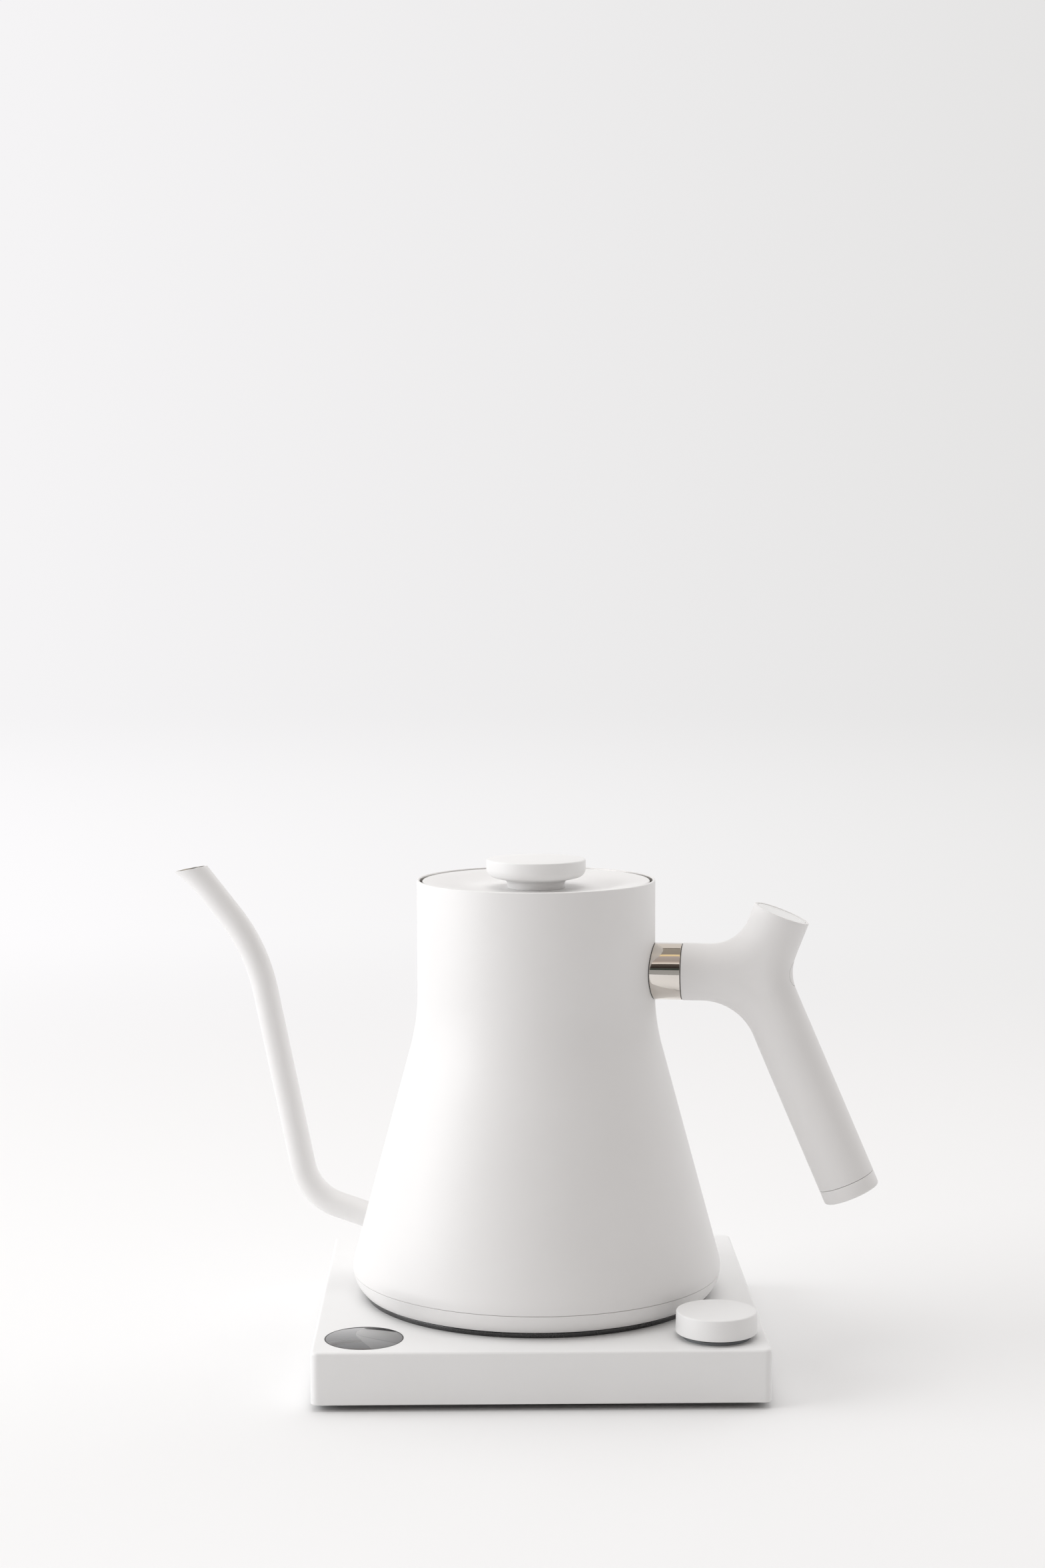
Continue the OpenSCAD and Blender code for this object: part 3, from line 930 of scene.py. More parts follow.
class Paintbox:
    """Makes each finish's material once."""

    DUST_COLOUR = (0.5, 0.49, 0.47, 1.0)

    def __init__(self) -> None:
        """Builds the shared effects."""
        self.effects = Effects()
        self.made: dict[tuple[str, tuple[float, ...]], bpy.types.Material] = {}

    def material(self, finish: Finish, centre: Vector | None = None) -> bpy.types.Material:
        """The material of a finish.

        Args:
            finish: The finish.
            centre: Where its pattern is centred, in millimetres.

        Returns:
            The material.
        """
        spot = tuple(round(c, 3) for c in centre) if centre is not None else (0.0, 0.0, 0.0)
        if (finish.name, spot) not in self.made:
            self.made[finish.name, spot] = self._mix(finish, Vector(spot) * MM)
        return self.made[finish.name, spot]

    def _place(
        self, sheet: Sheet, group: bpy.types.NodeTree, vector: object, **values: object
    ) -> bpy.types.Node:
        """Places a shared effect.

        Args:
            sheet: The material's sheet.
            group: The effect.
            vector: Its coordinates.
            values: Its other inputs by name.

        Returns:
            The group's node.
        """
        node = sheet.add("ShaderNodeGroup", node_tree=group)
        sheet.wire(vector, node.inputs["Vector"])
        for key, value in values.items():
            sheet.wire(value, node.inputs[key.replace("_", " ")])
        return node

    def _mix(self, finish: Finish, centre: Vector) -> bpy.types.Material:
        """Mixes one material.

        Args:
            finish: The finish.
            centre: Where its pattern is centred, in metres.

        Returns:
            The material.
        """
        made = bpy.data.materials.new(finish.name)
        made.use_nodes = True
        made.diffuse_color = (*finish.colour, 1.0)
        sheet = Sheet(made.node_tree)
        shader = made.node_tree.nodes["Principled BSDF"]
        shader.inputs["Metallic"].default_value = finish.metal
        shader.inputs["Coat Weight"].default_value = finish.coat
        shader.inputs["Coat Roughness"].default_value = 0.03
        where = sheet.add("ShaderNodeTexCoord").outputs["Object"]
        mapped = sheet.add("ShaderNodeMapping")
        mapped.inputs["Location"].default_value = -centre
        sheet.wire(where, mapped.inputs["Vector"])
        vector = mapped.outputs[0]
        effects = self.effects
        tone = self._place(
            sheet, effects.tone, vector, Colour=(*finish.colour, 1.0), Shade=(*finish.shade, 1.0)
        ).outputs["Colour"]
        rough = self._place(
            sheet, effects.marks, vector, Gloss=finish.rough, Spread=finish.marks
        ).outputs["Roughness"]
        height = self._place(
            sheet, effects.grain, vector, Pitch=finish.pitch / MM
        ).outputs["Height"]
        if finish.lines is Lines.ROUND:
            lines = self._place(sheet, effects.turned, vector)
            height = sheet.math(
                "MULTIPLY_ADD", lines.outputs["Height"], 0.85, sheet.math("MULTIPLY", height, 0.15)
            )
            rough = sheet.math(
                "ADD",
                rough,
                sheet.math("MULTIPLY_ADD", lines.outputs["Mask"], 0.08, -0.04),
                clamp=True,
            )
        if finish.kind is Kind.BOARD:
            tone, height = self._traces(sheet, vector, tone, height)
        elif finish.kind is Kind.WINDOW:
            tone = self._printed_window(sheet, vector, tone)
        if finish.dust:
            mask = self._place(sheet, effects.dust, vector, Amount=finish.dust).outputs["Mask"]
            tone = sheet.mix(mask, tone, self.DUST_COLOUR)
            rough = sheet.math("MULTIPLY_ADD", mask, 0.6, rough, clamp=True)
        bump = sheet.add("ShaderNodeBump")
        bump.inputs["Strength"].default_value = 1.0
        bump.inputs["Distance"].default_value = finish.grain * 1e-6
        sheet.wire(height, bump.inputs["Height"])
        sheet.wire(tone, shader.inputs["Base Color"])
        sheet.wire(rough, shader.inputs["Roughness"])
        sheet.wire(bump.outputs["Normal"], shader.inputs["Normal"])
        return made

    def _traces(
        self, sheet: Sheet, vector: object, tone: object, height: object
    ) -> tuple[object, object]:
        """Copper tracks under the lacquer of a circuit board.

        Args:
            sheet: The material's sheet.
            vector: The coordinates.
            tone: The lacquer's colour.
            height: The lacquer's height.

        Returns:
            The colour and the height with the tracks in.
        """
        cells = sheet.add("ShaderNodeTexVoronoi", distance="MANHATTAN", feature="F1")
        cells.inputs["Scale"].default_value = 160.0
        sheet.wire(vector, cells.inputs["Vector"])
        rings = sheet.math("FRACT", sheet.math("MULTIPLY", cells.outputs["Distance"], 5.0))
        track = sheet.math("GREATER_THAN", rings, 0.62)
        pad = sheet.math("LESS_THAN", cells.outputs["Distance"], 0.12)
        with_track = sheet.mix(sheet.math("MULTIPLY", track, 0.5), tone, (0.07, 0.26, 0.08, 1.0))
        return (
            sheet.mix(pad, with_track, (0.62, 0.6, 0.55, 1.0)),
            sheet.math("MULTIPLY_ADD", track, 1.5, height),
        )

    def _printed_window(self, sheet: Sheet, vector: object, tone: object) -> object:
        """A clear window in the dark print behind the glass.

        Args:
            sheet: The material's sheet.
            vector: The coordinates, centred on the glass.
            tone: The print's colour.

        Returns:
            The colour with the window in.
        """
        parts = sheet.parts(vector)
        inside_x = sheet.math("LESS_THAN", sheet.math("ABSOLUTE", parts.outputs[0]), 0.0092)
        inside_y = sheet.math("LESS_THAN", sheet.math("ABSOLUTE", parts.outputs[1]), 0.0068)
        inside = sheet.math("MULTIPLY", inside_x, inside_y)
        return sheet.mix(inside, tone, (0.02, 0.024, 0.026, 1.0))


# ------------------------------------------------------------ sub-assemblies


@dataclass
class Assembly:
    """Shared ways to set pieces down in the frame.

    Args:
        paint: The box of finishes.
        sharp: Edges that turn further than this stay sharp, in degrees.
    """

    paint: Paintbox
    sharp: float = field(default=34.0, kw_only=True)

    def settle(
        self,
        thing: bpy.types.Object,
        finishes: Sequence[Finish],
        body: str,
        slot: str,
        nodes: Sequence[str] = (),
        centre: Vector | None = None,
        inner: Callable[[Vector, Vector], bool] | None = None,
        turn: float = 0.0,
        weighted: bool = False,
    ) -> bpy.types.Object:
        """Sets a piece down in the frame and dresses it.

        Args:
            thing: The piece, in millimetres.
            finishes: Its finish, and a second one for the faces that inner picks.
            body: The body that it moves with.
            slot: The record's slot that its finish comes from; not used.
            nodes: The design nodes that it stands for.
            centre: Where its pattern is centred.
            inner: Picks faces for the second finish from their middle and normal.
            turn: Turn about the upright axis, in degrees.
            weighted: Whether large flat faces keep flat shading beside small roundings.

        Returns:
            The piece.
        """
        mesh = thing.data
        mesh.materials.clear()
        for finish in finishes:
            mesh.materials.append(self.paint.material(finish, centre))
        for face in mesh.polygons:
            face.material_index = int(inner is not None and inner(face.center, face.normal))
        mesh.transform(Matrix.Scale(MM, 4) @ Matrix.Rotation(math.radians(turn), 4, "Z"))
        mesh.shade_smooth()
        mesh.set_sharp_from_angle(angle=math.radians(self.sharp))
        if weighted:
            even = thing.modifiers.new("even shading", "WEIGHTED_NORMAL")
            even.keep_sharp = True
        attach(thing, body)
        if nodes:
            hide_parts(*nodes)
        LOG.info("%s: %d faces, on %s", thing.name, len(mesh.polygons), body)
        return thing

    def dress(self, node: str, finish: Finish | None = None, centre: Vector | None = None) -> None:
        """Gives a design node that stays its procedural material.

        Args:
            node: The node.
            finish: Its finish, if not the one of its slot.
            centre: Where its pattern is centred.
        """
        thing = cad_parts[node]
        for holder in thing.material_slots:
            chosen = finish or SLOT_FINISH[holder.material.name.split(".")[0]]
            holder.material = self.paint.material(chosen, centre)
        LOG.info("%s: design piece dressed", node)


@dataclass
class HeatingBase(Assembly):
    """The square base with its seat, connector, display and inner parts."""

    corner_r: float = 3.0
    edge_r: float = 1.2
    wall: float = 2.2
    deck: float = 2.5
    seat_edge: float = 0.4
    post_r: float = 15.95
    post_hole_r: float = 16.2
    pin_r: float = 3.2
    ring_in: float = 9.2
    ring_out: float = 11.2
    glass_r: float = 14.55
    bezel_r: float = 14.9
    dial_hole_r: float = 3.7
    grommet_hole_r: float = 4.97
    cord_r: float = 3.2
    slot_half: float = 7.0
    key_hole_r: float = 3.6

    def build(self) -> None:
        """Builds every piece of the base."""
        self.casing()
        self.seat()
        self.post()
        self.display()
        self.grommet()
        for node in (
            "base_bottom_plate", "foot_pad", "base_screws", "socket_contacts", "display_module",
            "control_board", "power_board", "power_components", "rear_board", "encoder_body",
            "encoder_nut", "cord_clamp",
        ):
            self.dress(node)

    def casing(self) -> None:
        """The white casing with its openings."""
        lowest, highest = low("base_housing"), high("base_housing")
        shell = Form().block(lowest, highest, self.corner_r, self.edge_r, 0.4)
        thing = as_object(shell, "casing")
        inset = Vector((self.wall, self.wall, 0))
        hollow = Form().block(
            lowest + inset - UP, highest - inset - UP * self.deck, 1.0, 0.4, 0.0, 2
        )
        under = Vector((0, 0, lowest.z - 1))
        display, dial = middle("display_window"), middle("encoder_body")
        cord, slider, key = middle("cord_grommet"), middle("hold_switch"), middle("units_button")
        rear = highest.y
        tall = highest.z - lowest.z + 4
        inward = Matrix.Rotation(math.radians(-90), 4, "X")
        tools = [
            hollow,
            Form().rod(Matrix.Translation(under), self.post_hole_r, tall),
            Form().rod(shift(display.x, display.y, under.z), self.glass_r - 1.75, tall),
            Form().rod(
                shift(display.x, display.y, low("display_window").z), self.bezel_r + 0.03, 6, FINE
            ),
            Form().rod(shift(dial.x, dial.y, under.z), self.dial_hole_r, tall),
            Form().rod(shift(cord.x, rear - 6, cord.z) @ inward, self.grommet_hole_r, 12),
            Form().rod(shift(key.x, rear - 6, key.z) @ inward, self.key_hole_r, 12),
            Form().block(
                Vector((slider.x - self.slot_half, rear - 6, slider.z - 2.5)),
                Vector((slider.x + self.slot_half, rear + 6, slider.z + 2.5)),
            ),
        ]
        self.settle(
            cut(thing, tools), [CASING], "base", "white_casing", ["base_housing"], weighted=True
        )

    def seat(self) -> None:
        """The black seat that the kettle stands over."""
        lowest, highest = low("seat_disc"), high("seat_disc")
        outer, bottom, top = highest.x, lowest.z, highest.z
        inner = self.post_r + 0.35
        groove = inner + 3.2
        form = Form().turn(
            [
                Corner(inner, bottom),
                Corner(outer, bottom, 0.1, 2),
                Corner(outer, top, self.seat_edge),
                Corner(outer - 4.0, top, 0.4, 3),
                Corner(outer - 4.6, top - 0.25, 0.4, 3),
                Corner(groove + 6, top - 0.25, 4, 4),
                Corner(groove, top - 0.9, 0.5, 3),
                Corner(groove - 1.4, top - 0.9, 0.4, 3),
                Corner(groove - 1.7, top - 0.1, 0.3, 3),
                Corner(inner, top - 0.1, 0.3, 3),
            ]
        )
        self.settle(as_object(form, "seat"), [GLOSS], "base", "black_gloss", ["seat_disc"])

    def post(self) -> None:
        """The round connector that plugs into the kettle."""
        lowest, highest = low("base_socket"), high("base_socket")
        top, flange = highest.z, lowest.z + 6
        depth = 11.0
        form = Form().turn(
            [
                Corner(0, lowest.z),
                Corner(self.post_r, lowest.z),
                Corner(self.post_r, flange - 3),
                Corner(highest.x, flange - 3, 0.3, 2),
                Corner(highest.x, flange - 0.03, 0.3, 2),
                Corner(self.post_r, flange - 0.03),
                Corner(self.post_r, top, 1.3),
                Corner(self.ring_out, top, 0.35, 3),
                Corner(self.ring_out, top - depth),
                Corner(self.ring_in, top - depth),
                Corner(self.ring_in, top, 0.35, 3),
                Corner(self.pin_r, top, 0.5, 3),
                Corner(self.pin_r, top - depth),
                Corner(0, top - depth),
            ],
            faces=128,
        )
        self.settle(
            as_object(form, "connector_post"), [BLACK], "base", "black_plastic", ["base_socket"]
        )

    def display(self) -> None:
        """The display's glass and the thin ring round it."""
        centre = middle("display_window")
        bottom = low("display_window").z
        deck = high("base_housing").z
        place = shift(centre.x, centre.y, 0)
        spot = Vector((centre.x, centre.y, deck))
        glass = Form().turn(
            [
                Corner(0, bottom),
                Corner(self.glass_r, bottom),
                Corner(self.glass_r, deck + 0.03, 0.12, 3),
                Corner(0, deck + 0.03),
            ],
            faces=128,
            place=place,
        )
        self.settle(
            as_object(glass, "display_glass"),
            [GLASS],
            "base",
            "dark_glass",
            ["display_window"],
            spot,
        )
        ring = Form().turn(
            [
                Corner(self.glass_r + 0.03, bottom),
                Corner(self.bezel_r, bottom),
                Corner(self.bezel_r, deck + 0.06, 0.1, 2),
                Corner(self.glass_r + 0.03, deck + 0.06, 0.1, 2),
            ],
            faces=128,
            place=place,
        )
        self.settle(
            as_object(ring, "display_ring"),
            [BLACK],
            "base",
            "black_plastic",
            ["display_bezel"],
            spot,
        )

    def grommet(self) -> None:
        """The grommet in the cord's hole."""
        centre = middle("cord_grommet")
        lowest, highest = low("cord_grommet"), high("cord_grommet")
        rear = high("base_housing").y
        outer, tube = highest.x, self.grommet_hole_r - 0.03
        form = Form().turn(
            [
                Corner(self.cord_r, lowest.y, 0.5, 3),
                Corner(outer, lowest.y, 0.6, 3),
                Corner(outer, rear - self.wall, 0.2, 2),
                Corner(tube, rear - self.wall),
                Corner(tube, rear),
                Corner(outer, rear, 0.15, 2),
                Corner(outer, highest.y, 0.7, 4),
                Corner(self.cord_r, highest.y, 0.5, 4),
            ],
            faces=SMALL,
            place=shift(centre.x, 0, centre.z) @ Matrix.Rotation(math.radians(-90), 4, "X"),
        )
        self.settle(
            as_object(form, "grommet"), [RUBBER], "base", "black_rubber", ["cord_grommet"], centre
        )


@dataclass
class RearControls(Assembly):
    """The hold slider and the units key at the rear."""

    ridges: int = 5
    ridge_pitch: float = 1.0

    def build(self) -> None:
        """Builds both controls."""
        self.slider()
        self.key()

    def slider(self) -> None:
        """The slider with its grip ridges."""
        lowest, highest = low("hold_switch"), high("hold_switch")
        centre = middle("hold_switch")
        rear = high("base_housing").y
        form = Form()
        form.block(
            Vector((centre.x - 3, rear - 3.4, lowest.z)),
            Vector((centre.x + 3, highest.y, highest.z)),
            0.35, 0.35, 0.35, 3,
        )
        form.block(
            Vector((lowest.x, lowest.y, lowest.z)),
            Vector((highest.x, lowest.y + 1.6, highest.z)),
            0.3,
        )
        thing = as_object(form, "hold_slider")
        first = -self.ridge_pitch * (self.ridges - 1) / 2
        tools = [
            Form().rod(
                shift(centre.x + first + self.ridge_pitch * i, highest.y + 0.12, lowest.z - 1),
                0.34,
                8,
                16,
            )
            for i in range(self.ridges)
        ]
        self.settle(
            cut(thing, tools),
            [DIAL],
            "hold_slider",
            "white_plastic",
            ["hold_switch"],
            centre,
            weighted=True,
        )

    def key(self) -> None:
        """The units key with a dished face."""
        lowest, highest = low("units_button"), high("units_button")
        centre = middle("units_button")
        wide, narrow = highest.x - centre.x, 3.3
        form = Form().turn(
            [
                Corner(0, lowest.y),
                Corner(wide, lowest.y, 0.15, 2),
                Corner(wide, lowest.y + 0.7, 0.15, 2),
                Corner(narrow, lowest.y + 0.7),
                Corner(narrow, highest.y, 0.45, 5),
                Corner(1.7, highest.y, 3.0, 5),
                Corner(0, highest.y - 0.28),
            ],
            faces=SMALL,
            place=shift(centre.x, 0, centre.z) @ Matrix.Rotation(math.radians(-90), 4, "X"),
        )
        self.settle(
            as_object(form, "units_key"),
            [DIAL],
            "units_key",
            "white_plastic",
            ["units_button"],
            centre,
        )


@dataclass
class Dial(Assembly):
    """The dial, its collar and its spindle."""

    edge_r: float = 0.6
    dish: float = 0.25
    wall: float = 1.6
    hub_r: float = 4.6

    def build(self) -> None:
        """Builds the dial's pieces."""
        self.knob()
        self.collar()
        self.dress("dial_insert", centre=middle("dial_knob"))
        self.dress("encoder_shaft", centre=middle("dial_knob"))

    def knob(self) -> None:
        """The white dial, open underneath."""
        lowest, highest, centre = low("dial_knob"), high("dial_knob"), middle("dial_knob")
        foot = highest.x - centre.x
        rim = foot - 0.3
        bottom, top = lowest.z, highest.z
        ceiling = top - 2.0
        form = Form().turn(
            [
                Corner(self.hub_r, bottom, 0.2, 2),
                Corner(6.0, bottom, 0.2, 2),
                Corner(6.0, ceiling, 0.5, 2),
                Corner(rim - self.wall, ceiling, 0.5, 2),
                Corner(rim - self.wall, bottom, 0.2, 2),
                Corner(foot, bottom, 0.35, 4),
                Corner(rim, top, self.edge_r, 6),
                Corner(rim - 4.5, top - self.dish * 0.75, 30.0, 6),
                Corner(0, top - self.dish),
                Corner(0, ceiling),
                Corner(self.hub_r, ceiling, 0.3, 2),
            ],
            faces=FINE,
            place=shift(centre.x, centre.y, 0),
        )
        self.settle(as_object(form, "dial"), [DIAL], "dial", "white_plastic", ["dial_knob"], centre)

    def collar(self) -> None:
        """The dark ring in the dial's shadow."""
        lowest, highest, centre = low("dial_collar"), high("dial_collar"), middle("dial_collar")
        outer = highest.x - centre.x
        form = Form().turn(
            [
                Corner(6.2, lowest.z),
                Corner(outer, lowest.z),
                Corner(outer, highest.z, 0.35, 4),
                Corner(6.2, highest.z, 0.2, 2),
            ],
            faces=128,
            place=shift(centre.x, centre.y, 0),
        )
        self.settle(
            as_object(form, "dial_ring"), [GREY], "base", "black_plastic", ["dial_collar"], centre
        )


@dataclass
class Coupler(Assembly):
    """The socket under the kettle that turns on the base's connector."""

    bore_r: float = 16.65
    pin_r: float = 2.65
    ring_in: float = 9.95
    ring_out: float = 10.75

    def build(self) -> None:
        """Builds the coupler."""
        lowest, highest = low("kettle_coupler"), high("kettle_coupler")
        bottom, top = lowest.z, highest.z
        ceiling = high("base_socket").z + 0.6
        form = Form().turn(
            [
                Corner(self.bore_r, bottom, 0.9, 4),
                Corner(highest.x, bottom, 0.5, 3),
                Corner(highest.x, top, 0.5, 3),
                Corner(0, top),
                Corner(0, top - 1),
                Corner(self.pin_r, top - 1),
                Corner(self.pin_r, ceiling, 0.2, 2),
                Corner(self.ring_in, ceiling, 0.2, 2),
                Corner(self.ring_in, top - 1),
                Corner(self.ring_out, top - 1),
                Corner(self.ring_out, ceiling, 0.2, 2),
                Corner(self.bore_r, ceiling, 0.4, 3),
            ],
            faces=128,
        )
        self.settle(
            as_object(form, "coupler"), [BLACK], "coupler", "black_plastic", ["kettle_coupler"]
        )
        self.dress("coupler_contacts")


@dataclass
class Body(Assembly):
    """The kettle's shell, bottom cap and inner floor."""

    neck_r: float = 47.45
    cone_deg: float = 15.1
    shoulder_z: float = 132.3
    flare_r: float = 83.0
    widest_r: float = 73.65
    foot_r: float = 12.0
    wall: float = 1.05
    seam_z: float = 32.0
    seam_gap: float = 0.16
    rim_edge: float = 0.4
    swivel: float = -10.0
    bore_r: float = 4.3
    stud_s: float = 62.8
    stud_angles: tuple[float, ...] = (90.0, 210.0, 330.0)

    @property
    def rim_z(self) -> float:
        """Height of the rim."""
        return high("kettle_shell").z

    @property
    def foot_centre(self) -> Vector:
        """Middle of the foot's curve, as distance from the axis and height."""
        out = self.widest_r - self.foot_r
        lean = math.radians(self.cone_deg)
        touch = out + self.foot_r * math.cos(lean)
        height = self.shoulder_z - (touch - self.neck_r) / math.tan(lean)
        return Vector((out, height - self.foot_r * math.sin(lean)))

    def wall_r(self, z: float, inset: float = 0.0) -> float:
        """Radius of the body on its cone or neck.

        Args:
            z: Height.
            inset: Depth under the outside.

        Returns:
            The radius.
        """
        lean = math.radians(self.cone_deg)
        cone = self.neck_r + (self.shoulder_z - z) * math.tan(lean)
        return max(self.neck_r, cone) - inset / (math.cos(lean) if cone > self.neck_r else 1)

    def foot_angle(self, z: float) -> float:
        """Angle of a height on the foot's curve, in degrees."""
        return math.degrees(math.asin((z - self.foot_centre.y) / self.foot_r))

    def side(self, inset: float, seam: float) -> list[Corner]:
        """Corners of the wall from the rim down to the seam.

        Args:
            inset: Depth under the outside.
            seam: Height at which the wall ends.

        Returns:
            The corners, from the top down.
        """
        lean = math.radians(self.cone_deg)
        shoulder = self.shoulder_z - inset * math.tan(lean / 2)
        radius = self.foot_r - inset
        last = math.degrees(math.asin((seam + 0.3 - self.foot_centre.y) / radius))
        bend = knee(self.foot_centre, radius, self.cone_deg, last, 8)
        turned = math.radians(last)
        touch = self.foot_centre.x + radius * math.cos(turned)
        return [
            Corner(self.neck_r - inset, self.rim_z, self.rim_edge, 4),
            Corner(self.neck_r - inset, shoulder, self.flare_r + inset, 20),
            bend,
            Corner(touch + 0.3 * math.tan(turned), seam, 0.1, 3),
        ]

    def build(self) -> None:
        """Builds the body's pieces."""
        self.shell()
        self.cap()
        for node in ("temperature_probe", "probe_seal"):
            self.dress(node, centre=middle("temperature_probe"))
        for node in (
            "kettle_floor", "heat_spreader", "heating_element", "element_leads", "thermostat",
            "floor_studs", "cap_screws",
        ):
            self.dress(node)

    def shell(self) -> None:
        """The tapered shell, enamelled outside and bare inside."""
        seam = self.seam_z + self.seam_gap / 2
        form = Form().turn([*self.side(0, seam), *reversed(self.side(self.wall, seam))])
        thing = as_object(form, "shell")
        spout = Spout(self.paint, self)
        cut(thing, [Form().rod(spout.root @ shift(z=-6), self.bore_r + 0.04, 22, 48)])

        lip = self.rim_z - self.rim_edge

        def inside(place: Vector, normal: Vector) -> bool:
            """Whether a face looks at the axis, under the rim's rounding."""
            flat = Vector((place.x, place.y, 0))
            return normal.dot(flat) < -0.5 * flat.length and place.z < lip

        self.settle(
            thing, [ENAMEL, BRUSHED], "kettle", "white_enamel", ["kettle_shell"], inner=inside,
            turn=self.swivel,
        )

    def cap(self) -> None:
        """The bottom cap under the seam."""
        seam = self.seam_z - self.seam_gap / 2
        bottom = low("bottom_cap").z
        centre = self.foot_centre
        first, last = self.foot_angle(seam - 0.3), self.foot_angle(bottom + 0.45)
        turned = math.radians(first)
        touch = centre.x + self.foot_r * math.cos(turned)
        ended = math.radians(last)
        end = centre.x + self.foot_r * math.cos(ended)
        hole = high("kettle_coupler").x + 0.5
        lip = self.widest_r - self.wall - 0.75
        thick = 1.5
        form = Form().turn(
            [
                Corner(touch - 0.3 * math.tan(turned), seam, 0.1, 3),
                knee(centre, self.foot_r, first, last, 12),
                Corner(end + 0.45 * math.tan(ended), bottom, 0.35, 4),
                Corner(hole, bottom, 0.5, 3),
                Corner(hole, bottom + thick, 0.2, 2),
                Corner(end - 2.4, bottom + thick, 5, 5),
                Corner(lip - thick, seam - 1.5, 2, 4),
                Corner(lip - thick, seam + 2, 0.3, 2),
                Corner(lip, seam + 2, 0.4, 2),
                Corner(lip, seam, 0.1, 1),
            ]
        )
        thing = as_object(form, "bottom_cap_shell")
        tools = []
        for angle in self.stud_angles:
            spot = Matrix.Rotation(math.radians(angle), 4, "Z") @ shift(self.stud_s, 0, bottom - 2)
            tools += [Form().rod(spot, 3.0, 2.7, 48), Form().rod(spot, 1.6, 8, 32)]
        self.settle(
            cut(thing, tools), [ENAMEL], "kettle", "white_enamel", ["bottom_cap"], turn=self.swivel
        )


